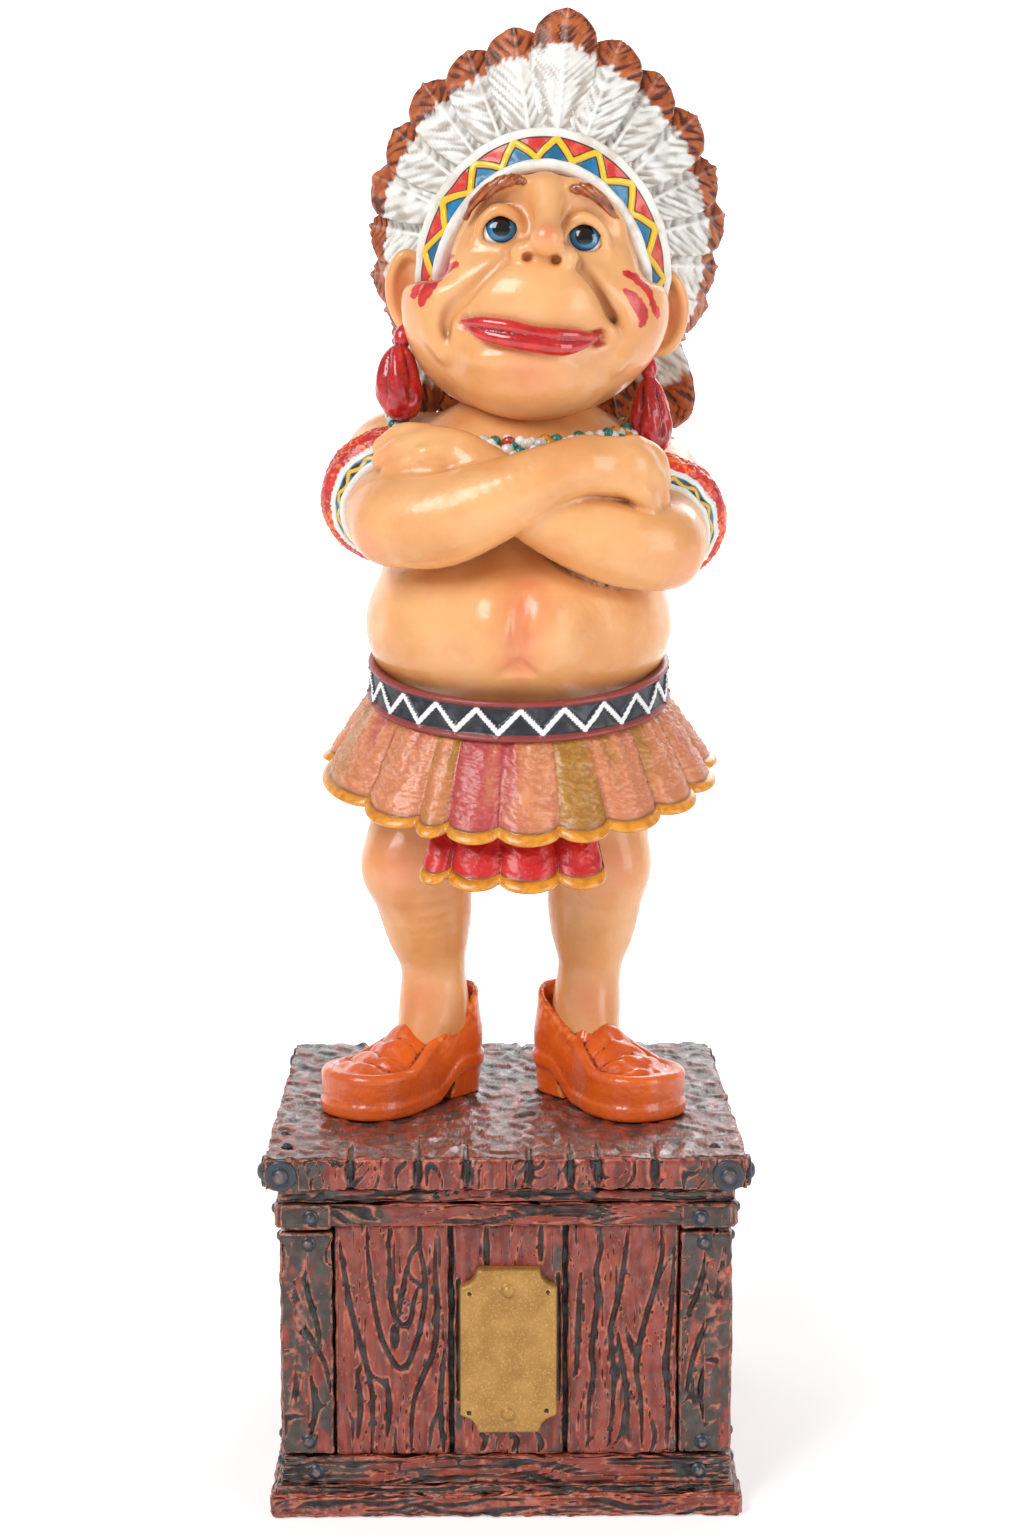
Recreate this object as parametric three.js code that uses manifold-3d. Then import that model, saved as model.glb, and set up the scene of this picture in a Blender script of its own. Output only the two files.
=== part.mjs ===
// A hand-painted cast figurine: a tubby comic figure with folded arms, in a feather headdress and a
// pleated skirt, standing on a slatted wooden crate that has a blank brass plate on its front.
// Millimetres, +Z up, the front faces -Y, and the origin is under the middle of the crate.
import * as THREE from "three";
import { mergeVertices } from "three/addons/utils/BufferGeometryUtils.js";
import Module from "manifold-3d";

const wasm = await Module();
wasm.setup();

// Crate: half-widths from its middle, and heights from the floor.
const LID_HALF = 36.6;
const LID_TOP = 57;
const LID_THICK = 5.4;
const PLANK_GAP = 0.7;
const PLANK_EDGES = [-LID_HALF, -23.5, -13.3, -6, 3.4, 9.6, 13.8, 22.3, LID_HALF];
const BASE_HALF = 36.2;
const BASE_BOARD = 3.4;
const WALL_HALF = 33.4;
const NECK_HALF = 34.4;
const RAIL_HALF = 34.4;
const RAIL_PROUD = 1.2;
const BOARD_EDGES = [-25.8, -8.4, 9, 25.8];
const BOARD_PROUD = 0.5;
const POST_WIDTH = 8.3;
const POST_PROUD = 0.9;
const LOW_RAIL = [4.8, 9.2];
const TOP_RAIL = [45.6, 49.2];
const RIVET = 1.15;
const BOLT_WASHER = 2.6;

// Brass plate on the front of the crate.
const PLATE = { width: 14.8, height: 25.8, thick: 1.9, middle: 26.3, scoop: 2.6, bevel: 0.35, rivet: 1 };

// Figure: heights are above the lid, so that its soles are at 0.
const LEAN = 2.3; // the hips and belly stand this far to the figure's left
const BELLY = { at: [LEAN, 0.5, 77.5], radii: [24.4, 21.5, 17.5] };
const CHEST = { at: [3, 2.5, 95], radii: [21, 14, 17] };
const YOKE = { at: [2.8, 1, 102.4], radii: [21.5, 17, 9] };
const BELT = { at: [LEAN, 0.5, 68.9], radii: [23.5, 21.6], height: 6.2, tilt: 12.8 };
const SKIRT = { pleats: 20, hem: [31.4, 28.5], flare: 2.4, sideHem: 55.4, frontDrop: 0.3, backDrop: 0.08 };
const SHOE = { heel: 5.6, toe: 8 };
const FLAP = { from: -15.2, to: 16.9, low: 38.7, high: 51, thick: 2.4, pleats: 4 };
const CUFF = { share: 0.62, above: 4.4, below: 3.4, puff: 0.6 };
const NECKLACE = {
  at: [2.6, 0, 107.6], radii: [17, 15], slope: 0.18, lean: 0.8, bead: 1.95, beads: 26, front: 4,
};
const NECK = { at: [3.6, 2, 103], radii: [12.6, 12, 13] };
const JAW = { at: [4.4, -3.5, 124], radii: [19.5, 16.5, 14.2] };
const CRANIUM = { at: [6, 1.5, 137.5], radii: [17.2, 16.5, 17] };
const MUZZLE = { at: [5, -13, 127.5], radii: [12, 9, 8.5] };
const CHIN = { at: [4.6, -12, 116], radii: [10, 7.5, 6] };
const CHEEKS = [
  { at: [-7, -8, 127.5], radii: [7.5, 8, 7.5] },
  { at: [16.6, -8, 125.5], radii: [7.5, 8, 7.5] },
];
const CROWN = { at: [6.1, 132.2], radii: [17.6, 20.2], lean: 6, front: -8.6, sweep: 9.5, band: 5.2 };
const FEATHER = { eachSide: 9, step: 13.4, length: 19.5, width: 10.4, thick: 2.4, curl: 1 };
const TRAILER = { count: 6, length: 27 };

const solids = [];
const rad = THREE.MathUtils.degToRad;

// A three.js geometry as a closed solid, with its faces turned out.
function solid(geometry) {
  const bare = geometry.index ? geometry.toNonIndexed() : geometry.clone();
  for (const name of Object.keys(bare.attributes)) if (name !== "position") bare.deleteAttribute(name);
  const merged = mergeVertices(bare, 1e-4);
  const vertProperties = new Float32Array(merged.attributes.position.array);
  const faces = Array.from(merged.index.array);
  const whole = [];
  for (let i = 0; i < faces.length; i += 3) {
    const [a, b, c] = faces.slice(i, i + 3);
    if (a !== b && b !== c && a !== c) whole.push(a, b, c);
  }
  let volume = 0;
  const p = (i) => new THREE.Vector3().fromArray(vertProperties, 3 * i);
  for (let i = 0; i < whole.length; i += 3)
    volume += p(whole[i]).dot(p(whole[i + 1]).cross(p(whole[i + 2])));
  if (volume < 0) whole.reverse();
  return new wasm.Manifold(new wasm.Mesh({ numProp: 3, vertProperties, triVerts: new Uint32Array(whole) }));
}

const join = (parts) => parts.reduce((sum, part) => sum.add(part));
const largest = (shape) => shape.decompose().reduce((a, b) => (b.volume() > a.volume() ? b : a));

// The grid of a sphere, with each point moved to place(angle round, share along).
function closedForm(around, along, place) {
  const form = new THREE.SphereGeometry(1, around, along);
  const at = form.attributes.position;
  for (let i = 0; i <= along; i++)
    for (let j = 0; j <= around; j++) {
      const p = place(((j % around) / around) * 2 * Math.PI, i / along);
      at.setXYZ(i * (around + 1) + j, p.x, p.y, p.z);
    }
  return form;
}

// An ellipsoid, turned about X, Y and Z in degrees.
function ball(at, radii, turn = [0, 0, 0], around = 8, along = 6) {
  const form = new THREE.SphereGeometry(1, around, along);
  form.rotateX(Math.PI / 2);
  form.scale(...radii);
  form.applyMatrix4(new THREE.Matrix4().makeRotationFromEuler(new THREE.Euler(...turn.map(rad))));
  form.translate(...at);
  return solid(form);
}

// How far along a ray from start the far side of an ellipsoid lies, or 0 where the ray misses it.
function farSide(start, ray, lump) {
  const scale = (v) => new THREE.Vector3(v.x / lump.radii[0], v.y / lump.radii[1], v.z / lump.radii[2]);
  const from = scale(start.clone().sub(new THREE.Vector3(...lump.at)));
  const way = scale(ray);
  const half = from.dot(way) / way.lengthSq();
  const inside = half * half - (from.lengthSq() - 1) / way.lengthSq();
  return inside > 0 ? Math.max(0, Math.sqrt(inside) - half) : 0;
}

// One skin over several ellipsoids, seen from a point inside them, with their joins rounded.
function skinOver(lumps, centre, around, along) {
  const start = new THREE.Vector3(...centre);
  return solid(
    closedForm(around, along, (angle, share) => {
      const low = share * Math.PI;
      const ray = new THREE.Vector3(
        Math.sin(low) * Math.sin(angle), -Math.sin(low) * Math.cos(angle), Math.cos(low),
      );
      const blend = 14;
      const sum = lumps.reduce((total, lump) => total + Math.pow(farSide(start, ray, lump), blend), 0);
      return start.clone().addScaledVector(ray, Math.pow(sum, 1 / blend));
    }),
  );
}

function box(low, high) {
  const size = high.map((h, i) => h - low[i]);
  const form = new THREE.BoxGeometry(...size);
  form.translate(...low.map((l, i) => l + size[i] / 2));
  return solid(form);
}

// A round-ended limb through stations of [x, y, z, radius], flattened across by flat.
function limb(stations, around = 10, steps = 4, flat = 1) {
  const spine = new THREE.CatmullRomCurve3(stations.map((s) => new THREE.Vector3(...s.slice(0, 3))));
  const thick = new THREE.CatmullRomCurve3(stations.map((s, i) => new THREE.Vector3(i, s[3], 0)));
  const CAP = 2;
  const rows = steps + 2 * CAP;
  return solid(
    closedForm(around, rows, (angle, share) => {
      const row = Math.round(share * rows);
      const t = Math.min(Math.max((row - CAP) / steps, 0), 1);
      const inCap = row < CAP ? (row / CAP) * 90 : row > rows - CAP ? ((rows - row) / CAP) * 90 : 90;
      const radius = thick.getPoint(t).y;
      const tangent = spine.getTangent(t);
      const side = new THREE.Vector3(0, 1, 0).cross(tangent);
      if (side.length() < 0.3) side.set(1, 0, 0).cross(tangent);
      side.normalize();
      const up = tangent.clone().cross(side);
      const end = (row < CAP ? -1 : 1) * Math.cos(rad(inCap)) * radius;
      return spine
        .getPoint(t)
        .addScaledVector(tangent, end)
        .addScaledVector(side, Math.cos(angle) * Math.sin(rad(inCap)) * radius)
        .addScaledVector(up, Math.sin(angle) * Math.sin(rad(inCap)) * radius * flat);
    }),
  );
}

// A square block whose half-width changes with height, from points of [half-width, height].
function squareStack(profile) {
  const form = new THREE.LatheGeometry(
    profile.map(([half, z]) => new THREE.Vector2(half * Math.SQRT2, z)),
    4,
  );
  form.rotateX(Math.PI / 2);
  form.rotateZ(Math.PI / 4);
  return solid(form);
}

// A flat-backed dome that stands out towards -Y.
function dome(x, y, z, radius) {
  return ball([x, y, z], [radius, radius * 0.7, radius], [0, 0, 0], 6, 3);
}

function addNode(name, shape, colour, roughness, metalness, z = 0) {
  const made = shape.getMesh();
  const corners = new Float32Array(made.numVert * 3);
  for (let i = 0; i < made.numVert; i++)
    corners.set(made.vertProperties.subarray(i * made.numProp, i * made.numProp + 3), i * 3);
  const geometry = new THREE.BufferGeometry();
  geometry.setAttribute("position", new THREE.BufferAttribute(corners, 3));
  geometry.setIndex(new THREE.BufferAttribute(made.triVerts, 1));
  geometry.computeVertexNormals();
  const mesh = new THREE.Mesh(geometry, new THREE.MeshStandardMaterial({ color: colour, roughness, metalness }));
  mesh.name = name;
  mesh.position.z = z;
  solids.push(mesh);
}

// One side of the crate: corner posts, two rails with end straps, boards and rivets, facing -Y.
function crateSide(riveted) {
  const post = -WALL_HALF - POST_PROUD;
  const rail = -WALL_HALF - RAIL_PROUD;
  const inside = -WALL_HALF + 2;
  const parts = [];
  for (const side of [-1, 1]) {
    const span = (from, to) => [Math.min(side * from, side * to), Math.max(side * from, side * to)];
    const [l, r] = span(RAIL_HALF - POST_WIDTH, RAIL_HALF - 0.2);
    parts.push(box([l, post, LOW_RAIL[1] + 0.7], [r, inside, TOP_RAIL[0] - 1]));
    parts.push(box([l - (side > 0 ? 0.6 : 0), rail - 0.4, TOP_RAIL[0] - 0.5], [r + (side < 0 ? 0.6 : 0), inside, TOP_RAIL[1]]));
    if (!riveted) continue;
    const x = side * (RAIL_HALF - POST_WIDTH / 2 - 0.4);
    parts.push(dome(x, rail - 0.4, (TOP_RAIL[0] + TOP_RAIL[1]) / 2, RIVET));
    parts.push(dome(x, post, TOP_RAIL[0] - 2.4, RIVET));
    parts.push(dome(x, post, LOW_RAIL[1] + 2.6, RIVET));
    parts.push(dome(x, rail, (LOW_RAIL[0] + LOW_RAIL[1]) / 2, RIVET));
  }
  for (const [low, high] of [LOW_RAIL, TOP_RAIL])
    parts.push(box([-RAIL_HALF, rail, low], [RAIL_HALF, inside, high]));
  BOARD_EDGES.slice(1).forEach((right, i) => {
    const low = [BOARD_EDGES[i] + PLANK_GAP / 2, -WALL_HALF - BOARD_PROUD, LOW_RAIL[1]];
    parts.push(box(low, [right - PLANK_GAP / 2, inside, TOP_RAIL[0]]));
  });
  return join(parts);
}

function crate() {
  const lidLow = LID_TOP - LID_THICK;
  const body = squareStack([
    [0, 0], [BASE_HALF - 0.6, 0], [BASE_HALF, 0.6], [BASE_HALF, BASE_BOARD], [BASE_HALF - 0.6, BASE_BOARD + 0.6],
    [BASE_HALF - 1, 6.5], [RAIL_HALF, 10.5], [WALL_HALF, 13], [WALL_HALF, TOP_RAIL[1]],
    [NECK_HALF, TOP_RAIL[1] + 0.4], [NECK_HALF, lidLow + 0.2], [0, lidLow + 0.2],
  ]);
  const sides = [0, 90, 180, 270].map((turn) => crateSide(turn !== 180).rotate([0, 0, turn]));
  const core = LID_HALF - 0.8;
  const lid = [squareStack([[0, lidLow], [core, lidLow], [core, LID_TOP - 0.5], [0, LID_TOP - 0.5]])];
  PLANK_EDGES.slice(1).forEach((right, i) => {
    const l = PLANK_EDGES[i] + (i ? PLANK_GAP / 2 : 0);
    const r = right - (i < PLANK_EDGES.length - 2 ? PLANK_GAP / 2 : 0);
    lid.push(box([l, -LID_HALF, lidLow], [r, LID_HALF, LID_TOP]));
  });
  const boltAt = LID_HALF - BOLT_WASHER - 0.2;
  const bolts = [];
  for (const turn of [0, 180])
    for (const side of [-1, 1]) {
      const z = LID_TOP - LID_THICK / 2;
      const washer = new THREE.CylinderGeometry(BOLT_WASHER, BOLT_WASHER, 1.2, 16);
      washer.translate(side * boltAt, -LID_HALF + 0.2, z);
      bolts.push(solid(washer).rotate([0, 0, turn]), dome(side * boltAt, -LID_HALF - 0.3, z, 1.5).rotate([0, 0, turn]));
    }
  return join([body, ...sides, ...lid, ...bolts]);
}

// A blank plate with scooped corners, a bevelled edge and a rivet near each end.
function plate() {
  const { width, height, thick, middle, scoop, bevel, rivet } = PLATE;
  const outline = new THREE.Shape();
  const corners = [[1, 1], [-1, 1], [-1, -1], [1, -1]];
  corners.forEach(([sx, sz], i) => {
    const [x, z] = [sx * (width / 2 - bevel), sz * (height / 2 - bevel)];
    const start = Math.atan2(-sz, -sx) + (Math.PI / 4) * (i % 2 ? 1 : 1);
    const steps = 4;
    for (let k = 0; k <= steps; k++) {
      const a = start - (Math.PI / 2) * (k / steps);
      const px = x + scoop * Math.cos(a);
      const pz = z + scoop * Math.sin(a);
      if (i === 0 && k === 0) outline.moveTo(px, pz);
      else outline.lineTo(px, pz);
    }
  });
  outline.closePath();
  const form = new THREE.ExtrudeGeometry(outline, {
    depth: thick - 2 * bevel, bevelEnabled: true, bevelThickness: bevel, bevelSize: bevel, bevelSegments: 1,
  });
  form.translate(0, 0, bevel);
  form.rotateX(Math.PI / 2);
  const back = -WALL_HALF - BOARD_PROUD - 0.02;
  form.translate(0.3, back, middle);
  const rivets = [1, -1].map((s) => dome(0.3, back - thick, middle + s * (height / 2 - 3.2), rivet));
  return join([solid(form), ...rivets]);
}

// A shoe, wider round its toe than round its heel, with a raised arch and a padded rim.
function shoe(heel, toe) {
  const heading = Math.atan2(toe[1] - heel[1], toe[0] - heel[0]);
  // Each ring: how far inside the widest line it lies, and its height at the heel and at the toe.
  const upper = [
    [0.8, 3.2, 0], [0, 5.2, 2.6], [0.6, 6, 3.2], [0.4, 12, 5.8], [1.2, 18.6, 8.2],
  ];
  const rim = (ring, angle) => {
    const front = Math.cos(angle) >= 0;
    const radius = (front ? SHOE.toe : SHOE.heel) - ring[0];
    const [x, y] = front ? toe : heel;
    const z = front ? ring[2] : ring[1];
    return new THREE.Vector3(x + radius * Math.cos(heading + angle), y + radius * Math.sin(heading + angle), z);
  };
  const body = closedForm(10, upper.length + 1, (angle, share) => {
    const row = Math.round(share * (upper.length + 1));
    if (row === 0) return new THREE.Vector3(...toe, 0);
    if (row > upper.length) return new THREE.Vector3((heel[0] + toe[0]) / 2, (heel[1] + toe[1]) / 2, 14);
    return rim(upper[row - 1], angle + Math.PI / 10);
  });
  const heelBlock = new THREE.CylinderGeometry(SHOE.heel - 0.4, SHOE.heel - 0.9, 4.6, 10);
  heelBlock.rotateX(Math.PI / 2);
  heelBlock.translate(heel[0], heel[1], 2.3);
  const vampEnd = toe.map((t, i) => t + (heel[i] - t) * 0.1);
  const vampTop = toe.map((t, i) => t + (heel[i] - t) * 0.62);
  return join([
    solid(body),
    solid(heelBlock),
    limb([[...vampEnd, 5.2, 5], [...vampTop, 10.4, 6]], 8, 1),
  ]);
}

function legs() {
  return [
    limb([[-10.5, 2, 52, 10], [-13.4, 0, 40, 8.8], [-12.6, 1, 29.5, 7.2], [-11.7, 1.6, 22, 5.3], [-11.2, 2.6, 12, 5.8]], 8, 3),
    ball([-16.6, -3, 38.6], [6.2, 6, 6.2]),
    limb([[13, 2, 52, 10], [14.8, 0, 39, 8.3], [14.4, 1, 29.5, 7.15], [14, 1.6, 22, 5.2], [13.2, 2.6, 12, 5.6]], 8, 3),
    ball([17.4, -2.8, 38.8], [5.6, 5.6, 6]),
    shoe([-9.3, 4], [-21.2, -8.4]),
    shoe([10.6, 3.6], [20.6, -9.6]),
  ];
}

// How far a pleat stands out at a turn round the skirt, from 0 in the fold to 1 on its crest.
function pleat(angle, count) {
  const share = (angle / (2 * Math.PI)) * count;
  return Math.pow(Math.abs(Math.cos(Math.PI * (share - Math.floor(share) - 0.5))), 0.7);
}

const hemHeight = (y) => SKIRT.sideHem + (y < 2 ? SKIRT.frontDrop : SKIRT.backDrop) * (y - 2);

function skirt() {
  const beltLow = BELT.at[2] - BELT.height / 2;
  const slope = Math.tan(rad(BELT.tilt));
  // Each ring: its share of the way down, its width against the full one, and how far it is raised.
  const rings = [[0, 1, 1.5], [0.45, 1, 0], [1, 1, 0]];
  const form = closedForm(SKIRT.pleats * 3, rings.length + 1, (angle, share) => {
    const row = Math.round(share * (rings.length + 1));
    if (row === 0) return new THREE.Vector3(BELT.at[0], BELT.at[1], beltLow + 1.5);
    if (row > rings.length) return new THREE.Vector3(BELT.at[0], BELT.at[1], SKIRT.sideHem + 3);
    const [t, width, lift] = rings[row - 1];
    const grow = Math.pow(t, 0.85);
    const deep = pleat(angle, SKIRT.pleats) * (0.3 + SKIRT.flare * t);
    const rx = THREE.MathUtils.lerp(BELT.radii[0] - 1.6, SKIRT.hem[0] - SKIRT.flare, grow) + deep;
    const ry = THREE.MathUtils.lerp(BELT.radii[1] - 1.6, SKIRT.hem[1] - SKIRT.flare, grow) + deep;
    const x = Math.sin(angle) * rx * width;
    const y = -Math.cos(angle) * ry * width;
    const z = THREE.MathUtils.lerp(beltLow + slope * y, hemHeight(y + BELT.at[1]), t) + lift;
    return new THREE.Vector3(BELT.at[0] + x, BELT.at[1] + y, z);
  });
  return solid(form);
}

// The lower layer that shows under the hem at the front.
function skirtFlap() {
  const outline = new THREE.Shape();
  const steps = FLAP.pleats * 3;
  const middle = (FLAP.from + FLAP.to) / 2;
  const front = (x) => BELT.at[1] - (SKIRT.hem[1] - 3.4) * Math.sqrt(1 - ((x - middle) / (SKIRT.hem[0] + 1)) ** 2);
  for (let i = 0; i <= steps; i++) {
    const x = THREE.MathUtils.lerp(FLAP.from, FLAP.to, i / steps);
    const out = Math.pow(Math.abs(Math.sin((Math.PI * i * FLAP.pleats) / steps)), 0.7);
    if (i) outline.lineTo(x, front(x) - out * 1.4);
    else outline.moveTo(x, front(x) - out * 1.4);
  }
  for (let i = 4; i >= 0; i--) {
    const x = THREE.MathUtils.lerp(FLAP.from + 0.4, FLAP.to - 0.4, i / 4);
    outline.lineTo(x, front(x) + FLAP.thick);
  }
  const form = new THREE.ExtrudeGeometry(outline, { depth: FLAP.high - FLAP.low, bevelEnabled: false });
  const at = form.attributes.position;
  for (let i = 0; i < at.count; i++) {
    const drop = SKIRT.frontDrop * (at.getY(i) + SKIRT.hem[1]);
    at.setZ(i, FLAP.low + at.getZ(i) + drop * 1.4);
  }
  return solid(form);
}

function torso() {
  const belt = new THREE.CylinderGeometry(0.965, 1, BELT.height, 20);
  belt.rotateX(Math.PI / 2);
  belt.scale(BELT.radii[0], BELT.radii[1], 1);
  belt.rotateX(rad(BELT.tilt));
  belt.translate(...BELT.at);
  return [
    skinOver([BELLY, CHEST, YOKE, NECK], [LEAN, 1, 88], 16, 12),
    solid(belt),
    skirt(),
    skirtFlap(),
  ];
}

function hand(palm, radii, turn, fingers) {
  return [ball(palm, radii, turn, 8, 6), ...fingers.map((f) => limb(f, 4, 1))];
}

// The puffed cuff round an upper arm, part way from its shoulder to its elbow.
function armBand(shoulder, elbow, radius) {
  const from = new THREE.Vector3(...shoulder);
  const to = new THREE.Vector3(...elbow);
  const { above, below, puff } = CUFF;
  const profile = [[0, -above], [radius - 1, -above], [radius + puff, -1.6], [radius, below], [0, below]];
  const ring = new THREE.LatheGeometry(profile.map(([r, h]) => new THREE.Vector2(r, h)), 12);
  const along = to.clone().sub(from).normalize();
  ring.applyQuaternion(new THREE.Quaternion().setFromUnitVectors(new THREE.Vector3(0, 1, 0), along));
  ring.translate(...from.lerp(to, CUFF.share).toArray());
  return solid(ring);
}

function arms() {
  const rightShoulder = [-16.5, 6, 101.6];
  const rightElbow = [-17.6, -11, 95];
  const leftShoulder = [22.6, 6, 98.6];
  const leftElbow = [24.8, -10, 91.4];
  return [
    limb([[...rightShoulder, 9.6], [-18, -4, 98.2, 9.4], [...rightElbow, 6.6]], 8, 1),
    limb([[-17, -14.5, 94.3, 7.4], [-10.5, -19.6, 94.2, 6.9], [-1.5, -22, 97.4, 5.6], [11, -22, 103, 4.1]], 8, 3),
    ...hand([17, -19.6, 102.4], [6.4, 4.6, 4.3], [0, 12, -24], [
      [[18.5, -18.5, 104.6, 2.2], [23, -15.4, 101.8, 2]],
      [[18.4, -20, 101, 2.2], [22, -17, 98.4, 2]],
    ]),
    armBand(rightShoulder, rightElbow, 10),
    limb([[...leftShoulder, 9.6], [25, -3, 95, 9.2], [...leftElbow, 6.4]], 8, 1),
    limb([[24.4, -13.6, 90.4, 7], [18, -17.4, 91, 6.6], [8, -19, 94.6, 5.4], [-6, -15.6, 103.2, 4]], 8, 3),
    ...hand([-11, -14.6, 105.4], [5.6, 4, 3.6], [0, 12, 14], [
      [[-13, -15, 106.8, 1.9], [-18.4, -12.8, 105.2, 1.7]],
      [[-11, -17.4, 103.4, 1.8], [-15.6, -16.4, 102, 1.6]],
    ]),
    armBand(leftShoulder, leftElbow, 9.4),
  ];
}

function head() {
  const [x, , z] = JAW.at;
  return [
    skinOver([CRANIUM, JAW, MUZZLE, CHIN, ...CHEEKS], [x + 0.6, -2, z + 6], 22, 14),
    ball([5.6, -19.4, 136], [2.9, 3.2, 3], [0, 0, 0], 6, 4), // nose
    ball([5.6, -17.6, 134.6], [4.6, 2.6, 1.8], [0, 4, 0], 6, 4),
    ball([-0.6, -12.6, 137.8], [3.4, 2.6, 3.2], [0, 6, 0], 6, 4), // eyes
    ball([11.9, -12.4, 136.6], [3.4, 2.6, 3.2], [0, 6, 0], 6, 4),
    ball([-14.4, 0.5, 129.4], [3.6, 2.4, 6], [0, -14, 30], 6, 6), // ears
    ball([24.6, 0.5, 126], [3.4, 2.4, 5.8], [0, 20, -30], 6, 6),
    limb([[-6.4, -16.4, 124.4, 0.9], [-1, -20.8, 122.6, 1.7], [9, -20.8, 121.2, 1.7], [14, -16.4, 122.2, 0.9]], 6, 4), // lips
    limb([[-15.4, -1.6, 124.4, 0.9], [-16, -3.4, 121.4, 1.6], [-16.6, -3.6, 114, 3.3]], 6, 3), // tassels
    limb([[22.4, -1.6, 119.8, 0.9], [22.8, -3.2, 117, 2], [22.6, -3.4, 109.4, 3]], 6, 3),
  ];
}

// A point on the crown's edge at an angle from the top, with the head's lean, and where it looks.
function crownPoint(angle, grow) {
  const a = angle + rad(CROWN.lean);
  const low = 1 - Math.cos(angle);
  const back = CROWN.front + (CROWN.sweep * low) / 1.25 + Math.max(0, low - 1.3) * 6;
  return new THREE.Vector3(
    CROWN.at[0] + Math.sin(a) * (CROWN.radii[0] + grow),
    back + grow * 0.35,
    CROWN.at[1] + Math.cos(a) * (CROWN.radii[1] * (Math.cos(a) > 0 ? 1 : 0.72) + grow),
  );
}

// The band over the forehead: a strip that looks forward and outward.
function headBand() {
  const ends = rad(101);
  const strip = new THREE.ExtrudeGeometry(
    new THREE.Shape([[-CROWN.band, -0.4], [0, -1.6], [0.5, 1.2], [-CROWN.band + 0.4, 2.6]].map((p) => new THREE.Vector2(...p))),
    { depth: 1, steps: 14, bevelEnabled: false },
  );
  const at = strip.attributes.position;
  for (let i = 0; i < at.count; i++) {
    const p = crownPoint((at.getZ(i) * 2 - 1) * ends, at.getX(i));
    at.setXYZ(i, p.x, p.y + at.getY(i), p.z);
  }
  return solid(strip);
}

// A feather from its root along a direction: narrow at the quill, with a broad rounded tip.
function feather(root, along, across, length) {
  const facing = along.clone().cross(across).normalize();
  // Each station: its share of the length, and its share of the full width.
  const stations = [[0, 0], [0.12, 0.62], [0.84, 1], [0.96, 0.7], [1, 0]];
  const rows = stations.length - 1;
  return solid(
    closedForm(4, rows, (turn, share) => {
      const [s, width] = stations[Math.round(share * rows)];
      const half = (FEATHER.width / 2) * width;
      const thick = (FEATHER.thick / 2) * Math.min(1, width * 1.6);
      return root
        .clone()
        .addScaledVector(along, length * s)
        .addScaledVector(across, half * Math.cos(turn))
        .addScaledVector(facing, thick * Math.sin(turn) - FEATHER.curl * s * s);
    }),
  );
}

// The feathers that stand up round the band, more swept back the lower they are.
function fan() {
  const feathers = [];
  for (let k = -FEATHER.eachSide; k <= FEATHER.eachSide; k++) {
    const angle = k * rad(FEATHER.step);
    const out = crownPoint(angle, 10).sub(crownPoint(angle, 0)).setY(0).normalize();
    const sweep = rad(12 + Math.min(1, Math.abs(angle) / rad(100)) * 50);
    const along = out.clone().multiplyScalar(Math.cos(sweep)).add(new THREE.Vector3(0, Math.sin(sweep), 0));
    const across = new THREE.Vector3(0, 1, 0).cross(out).normalize();
    feathers.push(feather(crownPoint(angle, -1), along, across, FEATHER.length * (k ? 1 : 1.12)));
  }
  return feathers;
}

// The feathers that hang from the cap down the back of the neck.
function trailer() {
  const feathers = [];
  const middle = (TRAILER.count - 1) / 2;
  for (let k = 0; k < TRAILER.count; k++) {
    const side = (k - middle) / middle;
    const root = new THREE.Vector3(CRANIUM.at[0] + side * 14, CRANIUM.at[1] + 14.5 - 6 * side * side, CRANIUM.at[2] - 4);
    const along = new THREE.Vector3(side * 0.34, 0.16, -1).normalize();
    const across = new THREE.Vector3(1, -0.7 * side, 0).normalize();
    feathers.push(feather(root, along, across, TRAILER.length));
  }
  return feathers;
}

// Strands of beads that lie round the neck on a low collar, lower in front.
function necklace() {
  const { at, radii, slope, lean, bead, beads, front } = NECKLACE;
  const tilt = [-THREE.MathUtils.radToDeg(Math.atan(-slope)), THREE.MathUtils.radToDeg(Math.atan(lean / radii[0])), 0];
  const parts = [ball(at, [radii[0] + 0.6, radii[1] + 0.6, 2.4], tilt, 12, 4)];
  for (const [grow, rise] of [[-2, 2], [1.4, -0.4]])
    for (let k = -front; k <= front; k++) {
      const angle = ((k + (grow > 0 ? 0.5 : 0)) / beads) * 2 * Math.PI;
      const x = Math.sin(angle);
      const y = -Math.cos(angle) * (radii[1] + grow);
      const form = new THREE.OctahedronGeometry(bead);
      form.rotateX(angle * 3);
      form.translate(at[0] + x * (radii[0] + grow), at[1] + y, at[2] + slope * y - lean * x + rise);
      parts.push(solid(form));
    }
  return parts;
}

const figure = largest(
  join([...legs(), ...torso(), ...arms(), ...head(), headBand(), ...fan(), ...trailer(), ...necklace()]),
);
addNode("crate_plinth", crate(), "#7a3526", 0.5, 0);
addNode("front_plate", plate(), "#b98a3c", 0.4, 0.6);
addNode("figure", figure, "#e8b27c", 0.4, 0, LID_TOP);

const figurine = new THREE.Group();
figurine.add(...solids);
export default figurine;
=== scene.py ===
"""A hand-painted resin figurine: a tubby comic figure in a feather headdress, on a slatted crate."""

import math

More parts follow.
